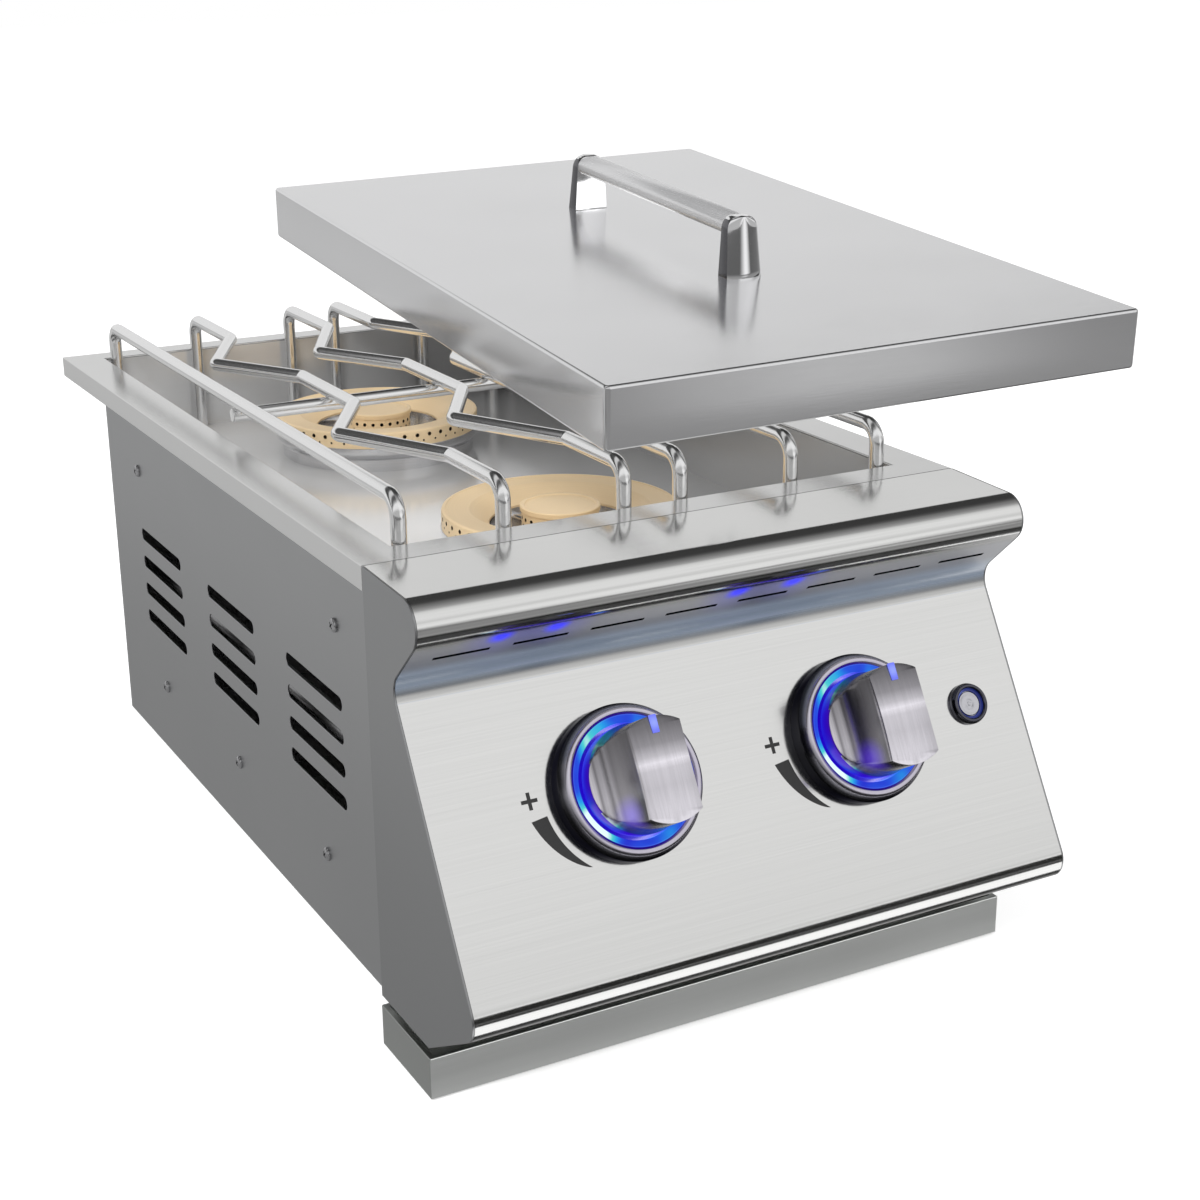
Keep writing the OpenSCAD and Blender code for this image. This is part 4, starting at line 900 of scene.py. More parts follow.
class BURNER_OT_lid(bpy.types.Operator):
    """Builds the folded lid and its handle, at the place where the lid is held up"""
    bl_idname = "burner.lid"
    bl_label = "Lid"

    def execute(self, context):
        sizes, finish = settings().lid, finishes()
        t, r, h = sizes.sheet, sizes.bend, sizes.height
        profile = [*arc((r, h - r), r, 90, 180, 6), (0, h / 2), (0, t), (0.4 * t, 0), (sizes.hem, 0)]
        points, faces = pan_surface(sizes.width, sizes.depth, sizes.corner, profile)
        piece = new_piece("lid_sheet", on_lid(points, sizes), faces)
        if max(piece.data.polygons, key=lambda face: face.area).normal.z < 0:
            piece.data.flip_normals()
        dress(thickened(piece, t, 40), "lid", finish["lid"], "lid_steel", "lid_pan")
        piece.visible_glossy = piece.visible_diffuse = False
        self.handle(sizes, finish)
        return {"FINISHED"}

    def handle(self, sizes, finish):
        """Bar: a flattened oval along Y. Posts: a plate across it, whose outer face bulges and leans in."""
        centre = np.array([sizes.width / 2 + sizes.handle_aside, sizes.depth / 2 + sizes.handle_back, sizes.height])
        half, high = sizes.handle_top / 2, sizes.handle_height - BAR_UNDER_TOP
        low, shoulder = high - BAR_THICK, high - 3.2 * MM
        section = rounded([(-half, low), (half, low), (half, shoulder), (0.45 * half, high), (-0.45 * half, high),
                           (-half, shoulder)], [4 * MM, 4 * MM, 3.4 * MM, 12 * MM, 12 * MM, 3.4 * MM], 8)
        end = sizes.handle_length / 2 - sizes.post_depth - 0.05 * MM
        points = np.column_stack([np.tile(section[:, 0], 3), np.repeat([-end, 0, end], len(section)),
                                  np.tile(section[:, 1], 3)])
        faces = capped_faces(3, len(section))
        bar = bevelled(new_piece("lid_handle_rail", on_lid(points + centre, sizes), faces), 0.3 * MM, 2, 60)
        dress(baked(bar, 50), "lid", finish["handle"], "handle_steel", "lid_handle_bar")
        across = lid_matrix(sizes)[0][:, 0]
        for side, name in ((-1, "front"), (1, "rear")):
            points, faces = self.post(sizes, side)
            foot = new_piece(f"lid_handle_{name}_foot", on_lid(points + centre, sizes), faces)
            post = baked(bevelled(foot, 0.25 * MM, 2, 40), 34)
            dress(post, "lid", finish["chrome"], "handle_chrome", f"lid_handle_{name}_post")
            # Painted shade: the posts' sides, facing across the lid, take a dark copy of the chrome
            refinished(post, finish["post_shaded_side"], np.abs(faces_of(post)[1] @ across) > 0.75)

    def post(self, sizes, side):
        """A post as rings over the height z: half width w(z) = foot + (top - foot) z / h, drawn in over the crown by
        sqrt(1 - t^2), and an outer face at depth d(z) + bulge (x / w)^2, where d(z) is the lean."""
        tall = sizes.handle_height - 0.05 * MM
        turn = np.radians(np.linspace(0, 88, 12))
        crown = tall - POST_CROWN
        heights = np.concatenate([np.linspace(0, crown, 10)[:-1], crown + POST_CROWN * np.sin(turn)])
        fade = np.concatenate([np.ones(9), 1 - CROWN_SHARE * (1 - np.cos(turn))])
        rise = heights / tall
        wide = (sizes.handle_width + (sizes.handle_top - sizes.handle_width) * rise) / 2 * fade
        lean = (sizes.post_depth - sizes.post_top) * rise
        across = np.linspace(-1, 1, 17)
        x = np.concatenate([across[None, :] * wide[:, None], wide[:, None], -wide[:, None]], axis=1)
        y = np.concatenate([lean[:, None] + POST_BULGE * across[None, :] ** 2,
                            np.full((len(heights), 2), sizes.post_depth)], axis=1)
        y = side * (sizes.handle_length / 2 - y)
        points = np.stack([x, y, np.repeat(heights[:, None], x.shape[1], axis=1)], axis=-1)
        return points.reshape(-1, 3), capped_faces(*x.shape)


class BURNER_OT_grate(bpy.types.Operator):
    """Builds the six bent bars and the crossbar of the grate"""
    bl_idname = "burner.grate"
    bl_label = "Grate"

    def execute(self, context):
        sizes, finish = settings().grate, finishes()
        radius = sizes.bar / 2
        low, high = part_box("grate_crossbar")
        middle, cross_z = (low[1] + high[1]) / 2, (low[2] + high[2]) / 2
        top = RIM_TOP_Z + sizes.rise
        rod_low, rod_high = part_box("grate_rod_1")
        foot, front, rear = rod_low[2], rod_low[1] + radius, rod_high[1] - radius
        rows = [(-sizes.outer, 0), (-sizes.middle, -1), (-sizes.inner, -1), (sizes.inner, 1), (sizes.middle, 1),
                (sizes.outer, 0)]
        for number, (x, side) in enumerate(rows, 1):
            peak = x + side * sizes.shift
            zigzag = [(x, -sizes.far), (peak, -sizes.peak), (x, -sizes.near), (x, sizes.near), (peak, sizes.peak),
                      (x, sizes.far)]
            tops = [(place, middle + along, top) for place, along in zigzag] if side else []
            corners = [(x, front, foot), (x, front, top), *tops, (x, rear, top), (x, rear, foot)]
            path = rounded_path(corners, [sizes.leg_bend, *[sizes.zig_bend] * len(tops), sizes.leg_bend], 10)
            bar = baked(new_piece(f"grate_bar_{number}", *tube(path, radius, 24)), 50)
            dress(bar, "grate", finish["bar"], "rod_steel", f"grate_rod_{number}")
        path = [(x, middle, cross_z) for x in (low[0], 0, high[0])]
        bar = bevelled(new_piece("grate_cross_bar", *tube(path, radius, 24)), 0.6 * MM, 3, 50)
        dress(baked(bar, 40), "grate", finish["bar"], "rod_steel", "grate_crossbar")
        return {"FINISHED"}


WELL_SHEET = 0.8 * MM
BRASS_WALL, CAP_LIP, CAP_STEP = 3 * MM, 3 * MM, 0.8 * MM
CUP_SHEET, DUCT_TURN = 2 * MM, 105


class BURNER_OT_burners(bpy.types.Operator):
    """Builds the brass rings and caps with their ports, and the steel cups under them"""
    bl_idname = "burner.burners"
    bl_label = "Burners"

    def execute(self, context):
        sizes, finish = settings().burner, finishes()
        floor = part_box("burner_tray")[0][2] + WELL_SHEET
        for name in ("front", "rear"):
            low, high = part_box(name + "_burner_ring")
            centre = np.array([0, (low[1] + high[1]) / 2, floor])
            self.ring(name, sizes, centre, finish)
            self.cap(name, sizes, centre, finish)
            self.cup(name, sizes, centre, finish)
        return {"FINISHED"}

    def ported(self, piece, rows, reach, centre, cutters_name):
        """Cuts rows of ports: round bars that stand out from the axis, evenly round it."""
        cutters = []
        for count, radius, height, phase in rows:
            for turn in (np.arange(count) + phase) * 2 * np.pi / count:
                out = np.array([math.cos(turn), math.sin(turn), 0])
                cutters.append(tube([centre + out * r + np.array([0, 0, height]) for r in reach], radius, 12))
        cut(piece, new_piece(cutters_name, *joined(cutters)))
        return own_axes(baked(piece, 28), centre, ROW_AXES, True)

    def ring(self, name, sizes, centre, finish):
        """The ring's section: wall, chamfer, flat top with a fine groove, and a cone down to its bore."""
        wall, seat, top = BRASS_WALL, sizes.seat, sizes.top
        edge, bore, flat, groove = sizes.ring, sizes.bore, sizes.flat, sizes.ring - 2.6 * MM
        section = [
            (bore, seat), (bore, seat + 1.2 * MM), (bore + 0.4 * MM, seat + 1.6 * MM),
            (flat - 0.6 * MM, top - 0.9 * MM), (flat + 0.4 * MM, top - 0.6 * MM), (groove - 0.5 * MM, top - 0.6 * MM),
            (groove, top - 0.4 * MM), (groove + 0.4 * MM, top), (edge - 1.3 * MM, top),
            (edge - 0.35 * MM, top - 0.45 * MM), (edge, top - 1.3 * MM), (edge, seat), (edge - wall, seat),
            (edge - wall, top - wall), (flat + 1.3 * MM, top - wall),
            (bore + wall, seat + 1.5 * MM), (bore + wall, seat)]
        piece = baked(turned_piece(name + "_brass_ring", section, 128, centre))
        rows = [(sizes.ring_ports, 1.3 * MM, 22.6 * MM, 0), (sizes.ring_ports, 0.7 * MM, 19 * MM, 0.5)]
        self.ported(piece, rows, (edge - 2 * wall, edge + wall), centre, "ring_ports")
        dress(piece, "burner_body", finish["brass"], "burner_brass", name + "_burner_ring")
        self.blacken_ports(piece, centre, edge - wall, edge, finish)

    def cap(self, name, sizes, centre, finish):
        """The cap's section: a flat top with a raised edge over a thin wall."""
        top, edge, wall = sizes.cap_top, sizes.cap, sizes.cap - CAP_STEP
        inner, under = wall - CUP_SHEET, top - CAP_LIP
        section = [
            (0, top - 0.8 * MM), (edge - 3.0 * MM, top - 0.8 * MM), (edge - 2.3 * MM, top), (edge - 0.7 * MM, top),
            (edge, top - 0.5 * MM), (edge, under), (wall, under - 0.2 * MM), (wall, 14 * MM), (inner, 14 * MM),
            (inner, under), (0, under)]
        piece = baked(turned_piece(name + "_brass_cap", section, 96, centre, closed=False))
        rows = [(sizes.cap_ports, 1.15 * MM, 20.4 * MM, 0), (sizes.cap_ports, 0.65 * MM, 17 * MM, 0.5)]
        self.ported(piece, rows, (wall - 4 * MM, wall + 2 * MM), centre, "cap_ports")
        dress(piece, "burner_body", finish["brass"], "burner_brass", name + "_burner_cap")
        self.blacken_ports(piece, centre, inner, wall, finish)

    def blacken_ports(self, piece, centre, inner, outer, finish):
        """Painted shade in the ports: the faces in the wall's thickness at the height of the ports, and the wall's
        inner side.
        """
        local = faces_of(piece)[0] - centre
        away, height = np.hypot(local[:, 0], local[:, 1]), local[:, 2]
        refinished(piece, finish["port_shade"], (away > inner - 0.1 * MM) & (away < outer - 0.08 * MM)
                   & (height > 15.5 * MM) & (height < 24 * MM))

    def cup(self, name, sizes, centre, finish):
        """The cup's section: a drum on the floor that flares into a rounded lip, a web and two collars."""
        seat, drum, bore, lip = sizes.seat, sizes.drum, sizes.bore, sizes.ring + 0.6 * MM
        section = rounded([
            (drum - CUP_SHEET, 0), (drum, 0), (drum, 7.4 * MM), (lip, 11.5 * MM), (lip, seat), (lip - 2.6 * MM, seat),
            (lip - 2.6 * MM, 13 * MM), (drum - CUP_SHEET, 9 * MM)],
            [0, 0, 2 * MM, 3 * MM, 0.4 * MM, 0.6 * MM, 1 * MM, 1 * MM], 6)
        low, high, hub, tip = 6 * MM, 7.5 * MM, sizes.cap - CAP_STEP, 14 * MM
        web = [(11 * MM, low), (drum - 1 * MM, low), (drum - 1 * MM, high), (bore + 1.5 * MM, high),
               (bore + 1.5 * MM, seat), (bore, seat), (bore, high), (hub, high), (hub, tip),
               (sizes.cap - 2.3 * MM, tip), (sizes.cap - 2.3 * MM, high), (11 * MM, high)]
        parts = [turned([*loop, loop[0]], 96, centre) for loop in (list(map(tuple, section)), web)]
        turn = math.radians(DUCT_TURN)
        out, side = np.array([math.cos(turn), math.sin(turn), 0]), np.array([-math.sin(turn), math.cos(turn), 0])
        duct = rounded(mm((-4, 7), (4, 7), (4, 13.5), (-4, 13.5)), [0, 0, 2 * MM, 2 * MM], 5)
        ends = [sizes.cap - 1 * MM, bore + 0.5 * MM]
        points = np.array([centre + out * r + side * x + np.array([0, 0, z]) for r in ends for x, z in duct])
        piece = new_piece(name + "_steel_cup", *joined([*parts, (points, capped_faces(2, len(duct)))]))
        own_axes(baked(piece, 40), centre, ROW_AXES, True)
        dress(piece, "burner_body", finish["cup"], "cup_steel", name + "_burner_cup")


KNOB_WAIST, KNOB_FALL = 0.05, 1.3 * MM
GRIP_BASE, BLANK_BASE = 17.5 * MM, 9 * MM
GLOW_TURNS = (216, 128, 205)
GLOW_FLOOR, GLOW_HIGH = 1.5 * MM, 11.5 * MM
MARK_LOW, MARK_HIGH, MARK_STEPS = 0.03 * MM, 0.12 * MM, 24
PLUS_CENTRE = (-50 * MM, 2 * MM)
PLUS_BARS = ((4.2 * MM, 0.9 * MM, 0.12 * MM), (0.9 * MM, 4.2 * MM, 0.13 * MM))
BUTTON_TOP = 2.0 * MM


class BURNER_OT_controls(bpy.types.Operator):
    """Builds the bezels, lit rings, knobs, the igniter button and the marks beside the knobs"""
    bl_idname = "burner.controls"
    bl_label = "Controls"

    def execute(self, context):
        sizes, finish = settings().controls, finishes()
        for side in ("left", "right"):
            foot = KNOB_FOOT[side]
            self.bezel(side, sizes, foot)
            self.lit_ring(side, sizes, foot)
            self.knob(side, sizes, foot, finish)
            self.marks(side, foot, finish)
        self.button(sizes, finish)
        return {"FINISHED"}

    def bezel(self, side, sizes, foot):
        """A wall that rounds over to a crown, and a satin slope that falls inwards to the lit ring."""
        high, glow = sizes.bezel_high, sizes.glow
        section = rounded([
            (6 * MM, 0.05 * MM), (sizes.bezel, 0.05 * MM), (sizes.bezel, 7.2 * MM), (sizes.bezel - 2.6 * MM, high),
            (glow + 1.2 * MM, high - 0.25 * MM), (glow + 0.02 * MM, high - 1.0 * MM), (glow + 0.02 * MM, GLOW_FLOOR),
            (6 * MM, GLOW_FLOOR)], [0, 0.3 * MM, 3.6 * MM, 2.6 * MM, 0.7 * MM, 0.2 * MM, 0, 0], 8)
        piece = baked(turned_piece(side + "_bezel_ring", section, 128, foot, SLOPE_AXES), 40)
        own_axes(piece, foot, SLOPE_AXES, True)
        dress(piece, "burner_body", bezel_metal("Two-tone bezel", sizes), "bezel_chrome", side + "_bezel")

    def lit_ring(self, side, sizes, foot):
        """A lit ring that slopes down to the knob, with a thin step near its rim and hot places on its left."""
        a, b, high = sizes.glow_bore, sizes.glow, GLOW_HIGH
        section = rounded([
            (a, GLOW_FLOOR), (b, GLOW_FLOOR), (b, high), (b - 0.5 * MM, high), (b - 0.8 * MM, high - 0.35 * MM),
            (a + 0.9 * MM, high - 1.3 * MM), (a, high - 2.2 * MM)],
            [0, 0, 0.1 * MM, 0.1 * MM, 0.1 * MM, 0.3 * MM, 0.2 * MM], 3)
        piece = baked(turned_piece(side + "_glow_ring", section, 128, foot, SLOPE_AXES), 50)
        own_axes(piece, foot, SLOPE_AXES)
        turns = [math.radians(turn) for turn in GLOW_TURNS]
        places = [((a + b) / 2 * math.cos(turn), (a + b) / 2 * math.sin(turn), high) for turn in turns]
        material = lamp_plastic("Lit ring", RING_GLOW, places, 15 * MM)
        dress(piece, "burner_body", material, "lit_plastic", side + "_lit_ring")

    def knob(self, side, sizes, foot, finish):
        """The knob is what a dished bar and a round blank share.

        The bar's section is flat on top, drops as a quarter ellipse to the base on each side, and is
        carried up the slope while its top falls off with the square of the distance."""
        grip, high, base, edge = sizes.grip / 2, sizes.knob_high, GRIP_BASE, sizes.knob + 0.4 * MM
        turn = np.radians(np.linspace(0, 90, 13))
        right = np.column_stack([edge - (edge - grip) * np.cos(turn) ** 0.8,
                                 high - (high - base) * np.sin(turn) ** 1.15])
        section = np.concatenate([[(0.0, high)], right, [(edge, 8 * MM), (-edge, 8 * MM)], (right * [-1, 1])[::-1]])
        ups = np.linspace(-edge, edge, 25)[:, None]
        share = (ups / edge) ** 2
        body = np.clip((section[:, 1] - base) / (high - base), 0, 1)[None, :]
        across = section[None, :, 0] * (1 - KNOB_WAIST * body * (1 - share))
        heights = section[None, :, 1] - KNOB_FALL * share * body
        points = np.stack([across, np.repeat(ups, len(section), axis=1), heights], axis=-1)
        bar = new_piece(side + "_knob_body", placed(points, foot, SLOPE_AXES), capped_faces(*across.shape))
        wall = sizes.knob
        blank = [(0, BLANK_BASE), (wall - 0.6 * MM, BLANK_BASE), (wall, 9.6 * MM), (wall, 16.5 * MM),
                 (wall - 0.5 * MM, 19 * MM), (wall - 1.1 * MM, 24 * MM), (wall - 1.4 * MM, high + 2 * MM),
                 (0, high + 2 * MM)]
        cut(bar, turned_piece("knob_blank", blank, 96, foot, SLOPE_AXES, closed=False), "INTERSECT")
        own_axes(baked(bevelled(bar, 0.35 * MM, 2, 25), 30), foot, SLOPE_AXES)
        dress(bar, side + "_control", finish["knob"], "knob_metal", side + "_knob")
        centres, normals = faces_of(bar)
        # Painted glow: the knob's low wall takes the metal with the lit ring's painted blue
        low_wall = (np.abs(normals @ KNOB_AXIS) < 0.35) & ((centres - foot) @ KNOB_AXIS < 17.4 * MM)
        refinished(bar, knob_wall("Knob wall"), low_wall)
        pointer = own_axes(bevelled_copy(side + "_pointer", 0.2 * MM), foot, SLOPE_AXES)
        lit = lamp_plastic("Pointer lens", POINTER_GLOW, [(0, wall - 5 * MM, high)], 4.5 * MM)
        dress(pointer, side + "_control", lit, "pointer_lens", side + "_pointer")

    def marks(self, side, foot, finish):
        """A tapered arc that narrows as the knob turns down, and a small plus at its wide end."""
        count = MARK_STEPS
        turns = np.radians(180 + np.linspace(8.5, 52, count))
        share = np.linspace(0, 1, count)
        radii = np.array([np.full(count, 43.5 * MM), 43.6 * MM + 8.4 * MM * (1 - share) ** 0.8])
        x, y = radii * np.cos(turns), radii * np.sin(turns)
        low, high = (np.stack([x, y, np.full_like(x, z)], axis=-1) for z in (MARK_LOW, MARK_HIGH))
        ends = [[end + count * i for i in range(4)] for end in (0, count - 1)]
        faces = grid_faces(4, count, wrap_rows=True).tolist() + ends
        parts = [(np.concatenate([low[0], low[1], high[1], high[0]]), faces)]
        for x, y, top in PLUS_BARS:
            outline = np.array([(-x, -y), (x, -y), (x, y), (-x, y)]) + PLUS_CENTRE
            points = np.column_stack([np.tile(outline, (2, 1)), np.repeat([MARK_LOW, top], 4)])
            parts.append((points, BOX_FACES))
        points, faces = joined(parts)
        mark = new_piece(side + "_heat_mark", placed(points, foot, SLOPE_AXES), faces)
        dress(mark, "burner_body", finish["ink"], "panel_steel")

    def button(self, sizes, finish):
        """A rounded bezel, a lit ring deep in it and a flat face below the crown."""
        foot = KNOB_FOOT["right"].copy()
        foot[0] = sizes.button_x
        bezel = rounded(mm((6.6, -10), (7.9, -10), (7.9, 0.05), (10.8, 0.05), (10.8, 2.0), (9.9, 4.0), (8.6, 4.0),
                           (8.12, 3.5), (8.12, 1.5), (6.6, 1.5)),
                        [0, 0, 0, 0.2 * MM, 1.6 * MM, 0.9 * MM, 0.5 * MM, 0.2 * MM, 0, 0], 6)
        piece = baked(turned_piece("button_bezel_ring", bezel, 64, foot, SLOPE_AXES), 45)
        dress(piece, "burner_body", finish["dark"], "bezel_chrome", "button_bezel")
        ring = mm((6.6, 1.5), (8.1, 1.5), (8.1, 2.4), (7.9, 2.4), (7.6, 1.9), (6.7, 1.8), (6.6, 1.7))
        piece = baked(turned_piece("button_glow_ring", ring, 64, foot, SLOPE_AXES), 45)
        own_axes(piece, foot, SLOPE_AXES)
        lit = lamp_plastic("Button lit ring", BUTTON_GLOW, [(-4 * MM, 6 * MM, 2 * MM)], 7 * MM)
        dress(piece, "burner_body", lit, "lit_plastic", "button_lit_ring")
        face = [(x * MM, BUTTON_TOP - down * MM) for x, down in (
            (0, 6), (6.3, 6), (6.3, 0.5), (6.1, 0.1), (5.8, 0), (5.2, 0.25), (2.4, 0.3), (1.9, 0.05), (1.2, 0.05),
            (0.8, 0.3), (0, 0.3))]
        piece = baked(turned_piece("button_face", face, 64, foot, SLOPE_AXES, closed=False), 45)
        dress(piece, "button", finish["button"], "knob_metal", "igniter_button")


SCREW_CELL = 0.01
BEVELLED_SHEETS = (("rim_frame", 0.55, "rim", "rim_steel"), ("burner_tray", 0.35, "tray", "tray_steel"),
                   ("left_side_panel", 0.3, "side", "body_steel"), ("right_side_panel", 0.3, "side", "body_steel"),
                   ("drip_tray_front", 0.5, "drip", "drip_steel"))
PLAIN_NODES = {
    "inside": ("front_wall", "bottom_pan", "panel_brackets", "drip_tray_runners"), "side": ("rear_panel",),
    "tube": ("front_mixer_tube", "rear_mixer_tube"), "ceramic": ("front_electrode", "rear_electrode"),
    "pipe": ("manifold_pipe", "supply_pipe"), "valve": ("gas_inlet_fitting", "left_valve_body", "right_valve_body"),
    "stem": ("left_valve_stem", "right_valve_stem"), "black": ("igniter_module",), "screw": ("lid_handle_screws",),
    "drip": ("drip_tray_pan",)}


class BURNER_OT_sheets(bpy.types.Operator):
    """Rounds the edges of the rim, the well, the body's panels and the drip tray, and finishes the inner nodes"""
    bl_idname = "burner.sheets"
    bl_label = "Sheets"

    def execute(self, context):
        finish = finishes()
        for node, width, name, slot in BEVELLED_SHEETS:
            piece = bevelled_copy(node, width * MM)
            dress(piece, "drip_tray" if name == "drip" else "burner_body", finish[name], slot, node)
            # Painted light: the drip tray's front faces take a lighter copy of its sheet
            if name == "drip":
                refinished(piece, finish["drip_lit_front"], faces_of(piece)[1][:, 1] < -0.9)
        self.screws(finish)
        for name, nodes in PLAIN_NODES.items():
            for node in nodes:
                materials = frame["nodes"][node].data.materials
                materials.clear()
                materials.append(finish[name])
        return {"FINISHED"}

    def screws(self, finish):
        """Pan heads: a low dome with a cross recess, turned round each screw's axis."""
        points = points_of(frame["nodes"]["side_panel_screws"].data)
        cells = np.unique(np.round(points / SCREW_CELL).astype(int), axis=0)
        apart = np.linalg.norm(cells[:, None] - cells[None], axis=-1)
        heads, recesses = [], ([], [])
        for place in cells[np.unique(np.argmax(apart < 2.5, axis=1))] * SCREW_CELL:
            near = points[np.linalg.norm(points - place, axis=1) < 2.5 * SCREW_CELL]
            low, high = near.min(axis=0), near.max(axis=0)
            centre = (low + high) / 2
            out, up = np.array([np.sign(centre[0]), 0, 0]), np.array([0, 0, 1.0])
            centre[0] = low[0] if centre[0] > 0 else high[0]
            across = np.cross(up, out)
            rise, radius = (high - low)[0], (high - low)[1] / 2
            turn = np.radians(np.linspace(0, 90, 8))
            dome = np.column_stack([radius * np.cos(turn) ** 0.8, rise * (0.28 + 0.72 * np.sin(turn))])
            section = [(0, 0), (radius, 0), *map(tuple, dome[:-1]), (0, rise)]
            heads.append(turned(section, 32, centre, [across, up, out]))
            for recess, angle in zip(recesses, (40, 130)):
                a = across * math.cos(math.radians(angle)) + up * math.sin(math.radians(angle))
                x, y = 0.5 * radius, 0.11 * radius
                corners = ((-x, -y), (x, -y), (x, y), (-x, y))
                box = [(*corner, z) for z in (0.45 * rise, 1.4 * rise) for corner in corners]
                recess.append((placed(box, centre, [a, np.cross(out, a), out]), BOX_FACES))
        piece = baked(new_piece("side_screw_heads", *joined(heads)))
        for recess in recesses:
            cut(piece, new_piece("cross_recess", *joined(recess)))
        dress(baked(piece, 40), "burner_body", finish["screw"], "screw_steel", "side_panel_screws")


# ---------------------------------------------------------------- stage

FLOOR_GLOW, SOFT_LIGHT = 0.52, 0.60
PALE, WHITE, CARD_COLOUR = (0.82, 0.82, 0.82, 1), (1, 1, 1, 1), (0.03, 0.03, 0.028, 1)
FLOOR_REACH, FLOOR_DOWN = 9, -0.0002
# Levels that metal sees on the floor: ahead of the object by y, and beside it by the distance from its middle
FLOOR_AHEAD = ((-3.0, 0.12), (-1.7, 0.16), (-1.0, 0.29), (-0.74, 0.27), (-0.66, 0.36), (-0.60, 0.20),
               (-0.52, 0.06), (-0.36, 0.05), (-0.33, 0.39), (2.0, 0.40))
FLOOR_BESIDE = ((0.0, 0.0), (0.26, 0.0), (0.36, 0.58), (0.60, 0.58), (0.74, 0.50), (3.0, 0.50))
BESIDE_FROM = ((-0.46, 0.0), (-0.38, 1.0))
# A beam on the floor to the front: by x / -y, and how strong it is by y
BEAM_ACROSS = ((0.12, 0.0), (0.44, 0.92), (0.53, 1.0), (0.62, 0.92), (0.98, 0.0))
BEAM_ALONG = ((-3.0, 0.95), (-2.0, 0.90), (-1.7, 0.34), (-1.25, 0.36), (-1.12, 0.68), (-1.0, 0.64),
              (-0.92, 0.30), (-0.6, 0.0))
# Levels by angle in degrees from the front horizon over the top to the rear horizon, straight on and to the sides
STUDIO_ARCH = ((-10, 0.84), (4, 0.92), (11, 0.88), (17.5, 0.70), (23, 0.74), (30, 0.86), (48, 0.86), (59, 0.76),
               (68, 0.40), (79, 0.25), (89, 0.17), (99, 0.075), (108, 0.045), (150, 0.045), (152, 0.76), (156, 0.76),
               (180, 0.80))
STUDIO_SIDES = ((-10, 0.50), (22, 0.45), (34, 0.80), (52, 0.85), (60, 0.34), (72, 0.09), (86, 0.09), (94, 0.60),
                (112, 0.66), (120, 0.07), (144, 0.06), (148, 0.80), (180, 0.78))
# How far a direction belongs to the sides, by its x
SIDES_FROM = ((-1.0, 1.0), (0.05, 1.0), (0.20, 0.0), (0.68, 0.0), (0.82, 1.0), (1.0, 1.0))
# Strip lamp and dark card before the chin, and the small card of light between the handle's posts
CHIN_X, CHIN_WIDE = 0.05, 0.60
STRIP_Y, STRIP_HIGH, STRIP_WATTS = -0.385, 0.058, 0.12
CARD_Y, CARD_LOW, CARD_HIGH = -0.50, 0.028, 0.084
GLINT_X, GLINT_Y, GLINT_RISE, GLINT_WATTS = (148 * MM, 235 * MM), (252 * MM, 349 * MM), 0.3 * MM, 0.032
# Camera: place, then azimuth, elevation and roll in degrees, and lens in millimetres on a sensor of 36
CAMERA_PLACE, CAMERA_TURNS, CAMERA_LENS = (-0.4985, -1.1001, 0.5397), (28.51, 18.92, -0.47), 61.05
# Soft boxes: name, place, size and watts; they aim at the middle of the object
SOFT_BOXES = (("key", (-1.6, -1.6, 2.2), 1.1, 48.0), ("fill", (2.2, -1.2, 1.2), 1.6, 13.0),
              ("top", (0.3, 1.2, 2.6), 2.0, 14.0))
SOFT_BOX_AIM = (0, 0, 0.15)


